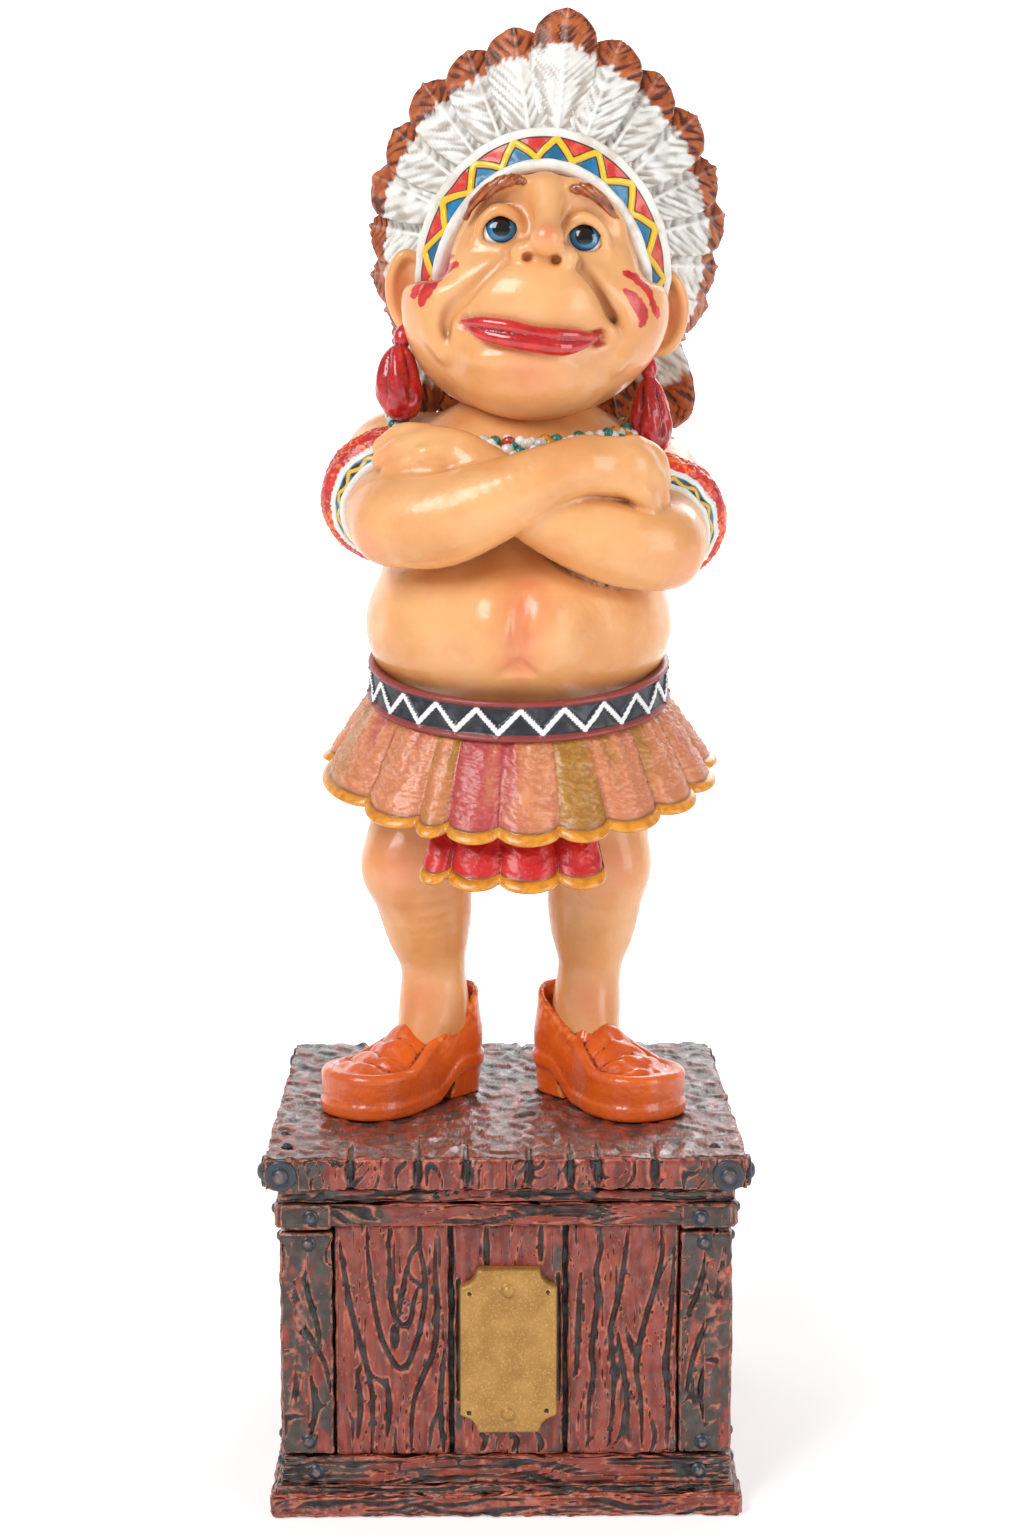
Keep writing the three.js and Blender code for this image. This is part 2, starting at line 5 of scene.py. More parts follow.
import bpy
import numpy as np
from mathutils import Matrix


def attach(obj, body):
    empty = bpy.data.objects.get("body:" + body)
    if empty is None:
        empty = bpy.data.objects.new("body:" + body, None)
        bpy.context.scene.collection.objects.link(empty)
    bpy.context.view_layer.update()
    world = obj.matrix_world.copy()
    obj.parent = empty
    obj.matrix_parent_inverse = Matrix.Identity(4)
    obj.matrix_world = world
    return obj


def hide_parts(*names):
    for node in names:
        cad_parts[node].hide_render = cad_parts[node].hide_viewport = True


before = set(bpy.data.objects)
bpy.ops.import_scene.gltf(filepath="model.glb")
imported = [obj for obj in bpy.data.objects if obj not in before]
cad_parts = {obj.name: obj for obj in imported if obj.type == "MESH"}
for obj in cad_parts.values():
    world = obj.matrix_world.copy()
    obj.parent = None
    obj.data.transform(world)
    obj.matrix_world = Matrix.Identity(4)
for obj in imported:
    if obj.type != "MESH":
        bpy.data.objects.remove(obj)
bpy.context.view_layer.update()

# Camera, floor and light. The part stands on a pale floor in soft studio light, and is seen square
# to the front of the crate from a little above the middle of the figure. Places are in millimetres.
MM = 0.001
EYE = (-3.4, -415.25, 166.8)
LOOKS_DOWN, LOOKS_RIGHT = 7.65, 0.64
SENSOR = 24.0
LENS = 1.6927 * SENSOR
FLOOR_HALF = 6000

camera = bpy.data.objects.new("camera", bpy.data.cameras.new("camera"))
bpy.context.collection.objects.link(camera)
camera.location = [v * MM for v in EYE]
camera.rotation_euler = (math.radians(90 - LOOKS_DOWN), 0, math.radians(-LOOKS_RIGHT))
camera.data.sensor_fit = "VERTICAL"
camera.data.sensor_height = SENSOR
camera.data.lens = LENS
camera.data.clip_start = 0.01
bpy.context.scene.camera = camera
bpy.context.scene.view_settings.view_transform = "Standard"

LIGHTS = [  # name, where it stands, width and height, and watts
    ("key", (-420, -520, 620), (420, 420), 4.8),
    ("fill", (560, -420, 260), (300, 520), 1.7),
    ("rim", (260, 560, 520), (420, 300), 1.6),
]
for name, place, size, watts in LIGHTS:
    light = bpy.data.lights.new(name, "AREA")
    light.shape, light.size, light.size_y, light.energy = "RECTANGLE", size[0] * MM, size[1] * MM, watts
    lamp = bpy.data.objects.new(name, light)
    bpy.context.collection.objects.link(lamp)
    lamp.location = [v * MM for v in place]
    aim = lamp.location - lamp.location.__class__((0, 0, 120 * MM))
    lamp.rotation_euler = aim.to_track_quat("Z", "Y").to_euler()

world = bpy.data.worlds.new("studio")
bpy.context.scene.world = world
world.use_nodes = True
world.node_tree.nodes["Background"].inputs["Color"].default_value = (1, 1, 1, 1)
world.node_tree.nodes["Background"].inputs["Strength"].default_value = 0.34


class Wire:
    """A socket in a finish's node tree. Arithmetic on wires adds Math nodes."""

    def __init__(self, finish, socket):
        self.finish, self.socket = finish, socket

    def math(self, operation, *values):
        return self.finish.node("ShaderNodeMath", {"operation": operation}, dict(enumerate(values)))

    def __add__(self, other):
        return self.math("ADD", self, other)

    def __mul__(self, other):
        return self.math("MULTIPLY", self, other)

    def __sub__(self, other):
        return self.math("SUBTRACT", self, other)

    def __rsub__(self, other):
        return self.math("SUBTRACT", other, self)

    def __abs__(self):
        return self.math("ABSOLUTE", self)

    __radd__, __rmul__ = __add__, __mul__

    def over(self, low, high):
        """0 below low, 1 above high, smooth between; high may be the smaller."""
        settings = {"interpolation_type": "SMOOTHSTEP"}
        if low < high:
            return self.finish.node("ShaderNodeMapRange", settings, {0: self, 1: low, 2: high})
        return 1 - self.finish.node("ShaderNodeMapRange", settings, {0: self, 1: high, 2: low})


class Finish:
    """One paint: a Principled shader, with fixed sockets and nodes that vary the rest over a piece."""

    def __init__(self, name, **fixed):
        self.material = bpy.data.materials.new(name)
        self.material.use_nodes = True
        self.tree = self.material.node_tree
        self.shader = self.tree.nodes["Principled BSDF"]
        for socket, value in fixed.items():
            self.shader.inputs[socket.replace("_", " ")].default_value = value
        self.raw = self.node("ShaderNodeTexCoord", {}, {}, "Object")
        self.at = self.stretch(1, 1, 1)

    def node(self, kind, settings, sockets, output=0):
        made = self.tree.nodes.new(kind)
        for key, value in settings.items():
            if key == "stops":
                for k, (spot, colour) in enumerate(value):
                    stop = made.color_ramp.elements[k] if k < 2 else made.color_ramp.elements.new(spot)
                    stop.position, stop.color = spot, (*colour, 1)
            else:
                setattr(made, key, value)
        for key, value in sockets.items():
            self.plug(made.inputs[key], value)
        return Wire(self, made.outputs[output])

    def plug(self, socket, value):
        if isinstance(value, Wire):
            self.tree.links.new(value.socket, socket)
        elif socket.type == "RGBA":
            socket.default_value = (*value, 1)
        else:
            socket.default_value = value

    def stretch(self, x, y, z):
        """The place on the piece in millimetres, each axis multiplied."""
        factors = (x / MM, y / MM, z / MM)
        return self.node("ShaderNodeVectorMath", {"operation": "MULTIPLY"}, {0: self.raw, 1: factors})

    def noise(self, scale, detail=3.0, at=None, output="Fac"):
        sockets = {"Vector": at or self.at, "Scale": scale, "Detail": detail}
        return self.node("ShaderNodeTexNoise", {}, sockets, output)

    def field(self, name):
        return self.node("ShaderNodeAttribute", {"attribute_name": name}, {}, "Fac")

    def mix(self, amount, first, second, how="MIX"):
        settings = {"data_type": "RGBA", "blend_type": how}
        return self.node("ShaderNodeMix", settings, {0: amount, 6: first, 7: second}, 2)

    def specks(self, spacing, size):
        """1 in small round specks that lie about a spacing apart."""
        away = self.node("ShaderNodeTexVoronoi", {}, {"Vector": self.at, "Scale": 1 / spacing}, "Distance")
        return away.over(size / spacing, 0.5 * size / spacing)

    def bump(self, height, depth, strength=1.0):
        """Raise the surface by a height of 0 to 1, times a depth in millimetres."""
        sockets = {"Height": height, "Distance": depth * MM, "Strength": strength}
        return self.node("ShaderNodeBump", {}, sockets)

    def drive(self, **wires):
        for socket, value in wires.items():
            self.plug(self.shader.inputs[socket.replace("_", " ")], value)
        return self


SWEEP_FROM, SWEEP_REACH, SWEEP_HIGH = 1200, 1500, 2400
floor_mesh = bpy.data.meshes.new("floor")
bend = np.linspace(0, math.pi / 2, 24)
rows = [(-FLOOR_HALF, 0), *zip(SWEEP_FROM + SWEEP_REACH * np.sin(bend), SWEEP_REACH * (1 - np.cos(bend)))]
rows.append((SWEEP_FROM + SWEEP_REACH, SWEEP_HIGH))
corners = [(side * FLOOR_HALF * MM, y * MM, z * MM) for y, z in rows for side in (-1, 1)]
floor_mesh.from_pydata(corners, [], [(k, k + 1, k + 3, k + 2) for k in range(0, len(corners) - 2, 2)])
floor_mesh.polygons.foreach_set("use_smooth", np.ones(len(floor_mesh.polygons), dtype=bool))
floor = bpy.data.objects.new("floor", floor_mesh)
bpy.context.collection.objects.link(floor)
floor_paint = Finish("floor_paint", Roughness=0.9, Emission_Strength=1.0)
behind = floor_paint.node("ShaderNodeSeparateXYZ", {}, {0: floor_paint.at}, 1)
floor_mesh.materials.append(floor_paint.drive(
    Base_Color=floor_paint.mix(floor_paint.noise(0.002), (0.82, 0.82, 0.82), (0.86, 0.86, 0.86)),
    Emission_Color=floor_paint.mix(behind.over(40, 700), (0.36, 0.36, 0.36), (1, 1, 1)),
).material)

# The crate: boards, posts and rails that are cast as one block and painted as old red timber, with
# deep grain, dark gaps, blackened patches, and pale pink on worn edges and groove rims that is partly
# painted highlight. Each timber is a rounded box whose skin is carved. Its paint follows values kept on
# its points, such as how far off the nearest groove is.
LID_HALF, LID_LOW, LID_TOP = 36.6, 51.6, 57.0
RAIL, POST, BOARD, INSIDE = 34.6, 34.3, 33.9, 30.0
FRAME_HALF, POST_WIDTH = 34.4, 8.0
LOW_RAIL, TOP_RAIL = (4.8, 9.2), (45.6, 49.2)
BASE_HALF, BASE_TOP = 36.2, 3.9
LID_SEAMS = [-23.5, -13.3, -6, 3.4, 9.6, 13.8, 22.3]
LEFT_GRAIN = [  # single grooves in the left board, as x and z
    [(-17.9, 45), (-17.7, 38.5), (-17.4, 33), (-16.6, 30.7), (-15.7, 29.8), (-14.6, 30.7), (-14.1, 33.5), (-13.4, 36)],
    [(-15.2, 39), (-15.6, 36), (-16.1, 34.2), (-16.3, 31.5)],
    [(-21.2, 45.4), (-20.9, 40), (-20.2, 33.7), (-19, 27.9), (-17.3, 24.1), (-15.9, 23), (-14.7, 24.4), (-13.3, 28.7),
     (-12.4, 33.7), (-12.5, 38.5), (-13.2, 42.5), (-13.3, 45.4)],
    [(-25.4, 43.5), (-24.5, 37.5), (-23.4, 31.2), (-21.7, 24.9), (-20.5, 18.5), (-20.6, 9.4)],
    [(-10.6, 44.5), (-10.8, 38.5), (-10.5, 32.4), (-11, 26.1), (-12.7, 21.8), (-14.2, 17.5), (-14.7, 9.4)],
    [(-22.9, 23), (-22.3, 17.3), (-22.8, 12)], [(-18.3, 21.3), (-17.9, 16.8), (-18.4, 12)],
    [(-9.4, 26), (-10.1, 17.2), (-9.6, 10)],
]
MIDDLE_GRAIN = [[(-3, 45.4), (-3.1, 39)], [(5.3, 45.4), (5.2, 40)], [(-7.2, 37), (-7.3, 18)], [(7.9, 38), (8.0, 18)],
                [(-4, 12.8), (-3.2, 11.5), (-3.8, 9.8)], [(0.5, 12.8), (1.6, 11.4), (1, 9.8)], [(4.6, 12.8), (5.4, 11), (5, 9.8)]]
RIGHT_GRAIN = [
    [(14.3, 45.4), (14.4, 41.9), (13.7, 38.4), (14.1, 34.9), (13.5, 30.3), (13, 25.3), (13.3, 22.2), (12.6, 17), (12.5, 10)],
    [(18.6, 45.4), (18.1, 41), (17.4, 36), (16.6, 32.3), (15.9, 28.8), (16.2, 24.8), (16.5, 20.9), (15.8, 11)],
    [(23.6, 45.4), (23.7, 41), (22.7, 36), (21.3, 31), (20.3, 26.5), (19.9, 22.2), (20.6, 18), (20.9, 10)],
    [(25.6, 42), (25.3, 34.8), (24.8, 28.5), (24.5, 22.2), (24.8, 17), (24.6, 9.6)],
    [(16.8, 29.3), (17.7, 24), (18.4, 17.9), (18.5, 12)], [(18.5, 28.5), (19.5, 25)], [(11.3, 38), (11, 30), (10.7, 22)],
]
POST_GRAIN = [
    [(-33.9, 42.8), (-33.2, 37.6), (-31.9, 34.3), (-31.1, 30.5), (-29.2, 27), (-27.6, 23.7), (-26.8, 19.5)],
    [(-31.3, 44), (-31, 40.1), (-30.1, 35), (-28.9, 30.5), (-28.3, 26.5)],
    [(-32, 32.3), (-31.4, 27.5), (-31.8, 22.4), (-32.6, 17.3), (-33.4, 13)], [(-29.8, 22), (-29.2, 17), (-29.8, 13)],
    [(30.5, 41.8), (30, 38.3), (28.8, 34.3), (27.4, 31)], [(31, 31.8), (29.8, 28.5), (28.4, 24.2), (27.5, 19)],
    [(33.1, 42), (32.4, 35.8), (31.7, 31.8), (32.5, 27.2), (33.6, 22)], [(31.1, 25), (29.7, 20), (30.6, 14)],
]


def waves(x, z, length, seed, terms=7):
    """A smooth random value, mostly from -1 to 1, that changes over about a length."""
    random = np.random.default_rng(seed)
    total = np.zeros(np.broadcast(x, z).shape)
    for _ in range(terms):
        way, start = random.uniform(0, 2 * math.pi, 2)
        pace = 2 * math.pi / (length * random.uniform(0.7, 1.5))
        total += np.sin(pace * (x * math.cos(way) + z * math.sin(way)) + start)
    return total / math.sqrt(terms)


def spline(stations, steps=5):
    """Places on a smooth curve through stations, with all their other numbers eased too."""
    s = np.asarray(stations, float)
    ends = np.vstack([2 * s[0] - s[1], s, 2 * s[-1] - s[-2]])
    t = np.linspace(0, 1, steps, endpoint=False)[:, None]
    runs = []
    for a, b, c, d in zip(ends, ends[1:], ends[2:], ends[3:]):
        runs.append(b + 0.5 * t * (c - a + t * (2 * a - 5 * b + 4 * c - d + t * (3 * (b - c) + d - a))))
    return np.vstack(runs + [s[-1:]])


class Carving:
    """Grooves cut in a surface: how deep, and how far off the nearest one is in groove widths."""

    def __init__(self, points, outward):
        self.cut, self.away = np.zeros(len(points)), np.full(len(points), 9.0)
        self.edge, self.recess = np.zeros(len(points)), np.zeros(len(points))
        facing = np.abs(outward[:, 0]) > np.abs(outward[:, 1])
        self.along_side = np.where(facing, points[:, 1], points[:, 0])
        self.across, self.along = self.along_side, points[:, 2]

    def groove(self, away, width, depth):
        u = np.abs(away) / np.maximum(width, 0.03)
        self.cut = np.maximum(self.cut, depth * np.clip(width / 0.35, 0, 1) * np.exp(-1.1 * u * u))
        self.away = np.minimum(self.away, u)

    def grain(self, pitch, seed, share=1.0, depth=0.4):
        """Wandering, forking grooves that run along a timber."""
        bend = 0.85 * waves(self.across * 0.25, self.along * 0.11, 4, seed)
        bend = bend + 0.3 * waves(self.across * 0.7, self.along * 0.3, 4, seed + 1)
        phase = self.across / pitch + bend
        for shift, part in ((0, 1.0), (0.5, 0.62)):
            line = np.round(phase + shift) - shift
            here = waves(line * 7.3, self.along * 0.17, 4, seed + 2 + int(2 * shift))
            strength = np.clip(0.5 + 0.8 * here, 0, 1) * part * share
            self.groove((phase - line) * pitch, 0.4 * strength, depth)

    def stroke(self, stations, width=0.42, depth=0.55):
        """One groove through stations on the timber's face, thin at both ends."""
        line = spline(stations, 6)
        best = np.full(len(self.cut), 9.0)
        for k, (a, b) in enumerate(zip(line, line[1:])):
            swell = 0.3 + 0.7 * math.sin(math.pi * (k + 0.5) / (len(line) - 1)) ** 0.5
            way = b - a
            t = np.clip(((self.across - a[0]) * way[0] + (self.along - a[1]) * way[1]) / (way @ way), 0, 1)
            off = np.hypot(self.across - a[0] - t * way[0], self.along - a[1] - t * way[1])
            best = np.minimum(best, off / swell)
        self.groove(best, width, depth)


BACK_FACE, UNDERSIDE = 3, 4  # the hidden faces of a box, by their place in box_skin's list


def zipped(rim):
    """Quads that close a ring of points, each from one side of it across to the other."""
    first = np.arange(len(rim) // 2 - 1)
    return np.stack([rim[first], rim[first + 1], rim[-2 - first], rim[-1 - first]], -1)


def box_skin(low, high, cell, edge, hidden):
    """The skin of a box as grid points and quads, with extra lines close to each edge and a plain hidden face."""
    marks = []
    for a, b, step in zip(low, high, np.broadcast_to(cell, 3)):
        near = np.array([0, 0.25, 0.6, 1.0]) * edge
        inner = np.linspace(a + edge, b - edge, max(2, int(round((b - a - 2 * edge) / step)) + 1))[1:-1]
        marks.append(np.concatenate([a + near, inner, b - near[::-1]]))
    nx, ny, nz = (len(m) for m in marks)
    key = np.arange(nx * ny * nz).reshape(nx, ny, nz)
    quads = []
    sides = [(key[0], True), (key[-1], False), (key[:, 0], False), (key[:, -1], True),
             (key[:, :, 0], True), (key[:, :, -1], False)]
    for number, (face, turned) in enumerate(sides):
        q = np.stack([face[:-1, :-1], face[1:, :-1], face[1:, 1:], face[:-1, 1:]], -1).reshape(-1, 4)
        if number == hidden:
            q = zipped(np.concatenate([face[:-1, 0], face[-1, :-1], face[:0:-1, -1], face[0, :0:-1]]))
        quads.append(q[:, ::-1] if turned else q)
    used, faces = np.unique(np.concatenate(quads), return_inverse=True)
    i, j, k = np.unravel_index(used, (nx, ny, nz))
    return np.stack([marks[0][i], marks[1][j], marks[2][k]], -1), faces.reshape(-1, 4)


def timber(low, high, carve, stain, seed, cell, edge=0.45, turn=0, hidden=BACK_FACE):
    """A rounded, carved box, turned about Z by quarter turns. carve(carving, points, outward)."""
    low, high = np.array(low, float), np.array(high, float)
    points, faces = box_skin(low, high, cell, edge, hidden)
    inner = np.clip(points, low + edge, high - edge)
    away = points - inner
    reach = np.linalg.norm(away, axis=1, keepdims=True)
    outward = away / np.maximum(reach, 1e-9)
    carving = Carving(points, outward)
    carve(carving, points, outward)
    on_edge = (np.sort(np.abs(outward), axis=1)[:, 1] > 0.2).astype(float)
    chips = 0.5 + 0.5 * waves(points[:, 0] + points[:, 1], points[:, 2] - points[:, 1], 2.2, seed + 9)
    worn = edge * (1 - 0.35 * chips * on_edge) + 0.1 * waves(points[:, 0], points[:, 2] + points[:, 1], 5, seed + 8)
    moved = inner + outward * (worn - carving.cut)[:, None]
    for _ in range(turn):
        moved = np.stack([-moved[:, 1], moved[:, 0], moved[:, 2]], -1)
    fields = {
        "away": carving.away, "edge": np.maximum(carving.edge, on_edge * (0.45 + 0.55 * chips)),
        "across": carving.across + 3.7 * seed, "along": carving.along, "recess": carving.recess,
        "stain": stain(points) if callable(stain) else np.full(len(points), float(stain)),
    }
    return moved, faces, fields


def gather(parts):
    """Join (points, faces, fields) parts into one set."""
    total, points, faces, fields = 0, [], [], {}
    for at, quads, values in parts:
        points.append(at)
        faces.append(np.asarray(quads) + total)
        for key, value in values.items():
            fields.setdefault(key, []).append(value)
        total += len(at)
    return np.concatenate(points), np.concatenate(faces), {k: np.concatenate(v) for k, v in fields.items()}


def add_piece(name, points, faces, finish, fields=None):
    """A smooth mesh object from points in millimetres, with values kept on its points."""
    mesh = bpy.data.meshes.new(name)
    mesh.from_pydata((np.asarray(points) * MM).tolist(), [], np.asarray(faces).tolist())
    mesh.polygons.foreach_set("use_smooth", np.ones(len(mesh.polygons), dtype=bool))
    for key, values in (fields or {}).items():
        mesh.attributes.new(key, "FLOAT", "POINT").data.foreach_set("value", np.asarray(values, np.float32))
    mesh.materials.append(finish.material)
    made = bpy.data.objects.new(name, mesh)
    bpy.context.collection.objects.link(made)
    return made


def fit(piece, node):
    """The piece is carried by the body and stands for a node, which is hidden."""
    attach(piece, "root")
    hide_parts(node)


def grained(pitch, seed, flat=False, share=1.0, strokes=()):
    """Carving for a timber: grain that runs up it, or along it where flat, and some single grooves."""
    def carve(carving, points, outward):
        if flat:
            top = np.abs(outward[:, 2]) > 0.7
            carving.across = np.where(top, points[:, 1], points[:, 2])
            carving.along = carving.along_side
        carving.grain(pitch, seed, share)
        for stations in strokes:
            carving.stroke(stations)
    return carve


def board_stain(left, right, level):
    """Blackened beside a board's gaps and at its ends, and by a level elsewhere."""
    def stain(points):
        x, z = points[:, 0], points[:, 2]
        close = np.minimum(np.abs(x - left), np.abs(x - right)) + 0.7 * waves(x, z * 0.3, 6, int(left) + 99)
        return level + 0.5 * np.clip(1 - close / 2.4, 0, 1) + 0.25 * np.clip(1 - (z - LOW_RAIL[1]) / 3, 0, 1)
    return stain


def ends_stain(level):
    """Blackened towards the ends of a rail."""
    return lambda points: level + 0.5 * np.clip((np.abs(points[:, 0]) - 20) / 8, 0, 1)


def crate_side(turn, cell, boards, seed):
    """One side of the crate, made facing the front and then turned."""
    parts = []

    def add(low, high, carve, stain, part_seed, edge=0.45):
        parts.append(timber(low, high, carve, stain, seed + part_seed, (cell, 2 * cell, cell), edge, turn))

    for k, (left, right, strokes, level) in enumerate(boards):
        low, high = (left + 0.35, -BOARD, LOW_RAIL[1] + 0.1), (right - 0.35, -INSIDE, TOP_RAIL[0] + 0.2)
        carve = grained(2.4, seed + k, share=0.4 if strokes else 1.0, strokes=strokes)
        add(low, high, carve, board_stain(left, right, level), k)
    for side in (-1, 1):
        ends = sorted((side * (FRAME_HALF - POST_WIDTH), side * FRAME_HALF))
        low, high = (ends[0], -POST, LOW_RAIL[1] + 0.5), (ends[1], -INSIDE, TOP_RAIL[0] - 1)
        add(low, high, grained(3.2, seed + 20 + side, share=0.35, strokes=POST_GRAIN), 0.62, 30 + side)
        low, high = (ends[0], -RAIL - 0.5, TOP_RAIL[0] - 0.3), (ends[1], -INSIDE, TOP_RAIL[1])
        add(low, high, grained(5, seed + 40, flat=True, share=0.3), 0.95, 50 + side, edge=0.6)
    for k, (low_z, high_z) in enumerate((LOW_RAIL, TOP_RAIL)):
        low, high = (-FRAME_HALF, -RAIL, low_z), (FRAME_HALF, -INSIDE, high_z)
        add(low, high, grained(1.5, seed + 60 + k, flat=True), ends_stain(0.3), 60 + k)
    low, high = (-34.6, -34.6, TOP_RAIL[1] + 0.2), (34.6, -INSIDE, LID_LOW + 0.3)
    add(low, high, grained(1.2, seed + 70, flat=True), ends_stain(0.4), 70)
    low, high = (-BASE_HALF, -BASE_HALF, 0), (BASE_HALF, -INSIDE, BASE_TOP)
    add(low, high, grained(1.6, seed + 80, flat=True, share=0.8), 0.22, 80, edge=0.9)
    low, high = (-35.3, -35.3, BASE_TOP - 0.5), (35.3, -INSIDE, LOW_RAIL[0] + 0.2)
    add(low, high, grained(1.3, seed + 90, flat=True), 0.75, 90)
    return parts


def lid_cut(carving, points, outward):
    """Plank seams on the ends and a little way in over the top, and short curled strokes on the top."""
    x, y, z = points.T
    top, side = outward[:, 2] > 0.7, np.abs(outward[:, 0]) > 0.7
    carving.across, carving.along = np.where(side, z, x), np.where(side | top, y, z)
    carving.grain(2.3, 400, 0.8)
    islands = waves(x * 1.15 + 1.4 * waves(x, y, 8, 5), y * 0.85, 3.6, 11)
    carving.cut = np.where(top, 0.34 * eased(0.45 - islands), carving.cut)
    carving.away = np.where(top, 9, carving.away)
    # On the top, the pale paint along the rims of the curled strokes is painted highlight.
    carving.edge = np.where(top, np.exp(-((islands + 0.02) / 0.13) ** 2) * (0.55 + 0.45 * waves(x, y, 3, 6)), 0)
    carving.recess = np.where(top, eased(0.5 - 1.6 * islands), 0)
    seam = np.min([np.abs(x - at) for at in LID_SEAMS], axis=0) + 0.12 * waves(z * 2, y, 5, 13)
    width = np.where(top, 0.5 * np.clip(1 - (LID_HALF - np.abs(y)) / 13, 0, 1), 0.62) * ~side
    carving.groove(seam, width, 0.85)


def lid_stain(points):
    """Blackened by the front corners and in patches on the ends, and greyer to the back of the top."""
    x, y, z = points.T
    corner = 0.55 * np.clip((np.abs(x) - 25) / 4, 0, 1) * (y < -LID_HALF + 1)
    patches = 0.3 * (waves(x, z * 2 + y, 7, 3) > 0.5)
    return 0.12 + corner + patches + 0.4 * np.clip((y + 24) / 60, 0, 1)


def eased(share):
    share = np.clip(share, 0, 1)
    return share * share * (3 - 2 * share)


MAHOGANY, OLD_RED, CHARCOAL = (0.27, 0.042, 0.022), (0.13, 0.02, 0.012), (0.034, 0.034, 0.028)
ROOT_BROWN, GAP_AND_SHADE_BLACK, WORN_AND_HIGHLIGHT_PINK = (0.1, 0.062, 0.05), (0.008, 0.004, 0.003), (0.58, 0.17, 0.1)
wood = Finish("old_red_timber", Roughness=0.4, Coat_Roughness=0.22)


def lying(stretch):
    """Where a point lies across and along its timber, in millimetres, with the second one stretched."""
    return wood.node("ShaderNodeCombineXYZ", {}, {0: wood.field("across"), 1: wood.field("along") * stretch, 2: 0.0})


streaks = wood.noise(0.75, 4, lying(0.16))
wrinkles = wood.noise(1.5, 5, lying(0.45))
colour = wood.mix(streaks.over(0.36, 0.62), OLD_RED, MAHOGANY)
colour = wood.mix(wood.field("recess") * 0.8, colour, ROOT_BROWN)
blackened = (wood.field("stain") + (wood.noise(0.28, 4, lying(0.4)) - 0.5) * 1.9).over(0.42, 0.62)
colour = wood.mix(blackened * 0.9, colour, CHARCOAL)
groove_off = wood.field("away")
# Pale pink on groove rims and timber edges: partly worn paint and partly painted highlight.
rubbed_and_highlight = groove_off.over(0.95, 1.25) * groove_off.over(2.3, 1.5) * wood.noise(0.9, 3).over(0.38, 0.6)
rubbed_and_highlight = rubbed_and_highlight + (wood.field("edge") + (wood.noise(1.4, 3) - 0.5) * 1.1).over(0.45, 0.85)
colour = wood.mix(rubbed_and_highlight * 0.65, colour, WORN_AND_HIGHLIGHT_PINK)
core = groove_off.over(1.15, 0.6)
colour = wood.mix(core, colour, GAP_AND_SHADE_BLACK)
wood.drive(
    Base_Color=colour,
    Roughness=0.48 - 0.26 * wood.noise(0.6, 2),
    Coat_Weight=0.6 * wood.noise(0.5, 2).over(0.42, 0.62),
    Normal=wood.bump(wrinkles + groove_off.over(0.4, 1.5) * 0.8, 0.3, 0.9),
)

FRONT_BOARDS = [(-26.4, -8.4, LEFT_GRAIN, 0.02), (-8.4, 9, MIDDLE_GRAIN, 0.22), (9, 26.4, RIGHT_GRAIN, 0.02)]
PLAIN_BOARDS = [(-26.4, -8.4, (), 0.1), (-8.4, 9, (), 0.05), (9, 26.4, RIGHT_GRAIN, 0.05)]
CRATE_SIDES = [("front", 0, 0.41, FRONT_BOARDS), ("right", 1, 0.8, PLAIN_BOARDS), ("back", 2, 0.9, PLAIN_BOARDS),
               ("left", 3, 0.8, PLAIN_BOARDS)]
for name, turn, cell, boards in CRATE_SIDES:
    points, faces, fields = gather(crate_side(turn, cell, boards, 100 * turn + 5))
    fit(add_piece("crate_" + name, points, faces, wood, fields), "crate_plinth")
low, high = (-LID_HALF, -LID_HALF, LID_LOW), (LID_HALF, LID_HALF, LID_TOP)
points, faces, fields = timber(low, high, lid_cut, lid_stain, 420, 0.46, edge=0.8, hidden=UNDERSIDE)
fit(add_piece("crate_lid", points, faces, wood, fields), "crate_plinth")


# The core inside the crate is painted black all over, as painted shade seen through the gaps between the boards.
def shadowed(carving, points, outward):
    carving.away[:] = 0


low, high = (-31, -31, 0.1), (31, 31, LID_LOW + 1)
points, faces, fields = timber(low, high, shadowed, 1.0, 430, 8)
fit(add_piece("crate_core", points, faces, wood, fields), "crate_plinth")

# The crate's rivets and bolts: domed heads in the corner straps, posts and rails, and a big round bolt
# on a washer at each end of the lid. They are cast with the crate and painted as blackened iron.
RIVETS = [(-29.6, -RAIL - 0.5, 47.2), (29.4, -RAIL - 0.5, 47.1), (-30.1, -POST, 42.9), (30.1, -POST, 43),
          (-30.2, -POST, 11.7), (30, -POST, 11.4), (-29.1, -RAIL, 6.9), (29.5, -RAIL, 6.9)]
BOLTS = [(-33.9, -LID_HALF, 54.2), (33.4, -LID_HALF, 54.1)]
RIVET_SHAPE = [(0.02, 0.82), (0.35, 0.78), (0.62, 0.62), (0.84, 0.36), (0.95, 0.12), (1.2, 0.1), (1.3, -0.3)]
BOLT_SHAPE = [(0.02, 1.05), (0.5, 1.02), (0.85, 0.9), (1.1, 0.72), (1.3, 0.42), (1.4, 0.2), (1.6, 0.3), (2.1, 0.34),
              (2.35, 0.24), (2.42, 0), (2.42, -0.5)]
STUDS = [(-34.2, -23.3), (-33.4, -30), (31.8, -30.7)]
HEAD_ROUND = 22


def grid_faces(rows, columns, ring):
    """Quads over a grid whose columns join up on themselves, with its rows joined up or its ends closed."""
    key = np.arange(rows * columns).reshape(rows, columns)
    around = np.hstack([key, key[:, :1]])
    if ring:
        around = np.vstack([around, around[:1]])
    faces = [np.stack([around[:-1, :-1], around[1:, :-1], around[1:, 1:], around[:-1, 1:]], -1).reshape(-1, 4)]
    if not ring:
        faces += [zipped(key[0]), zipped(key[-1])[:, ::-1]]
    return np.concatenate(faces)


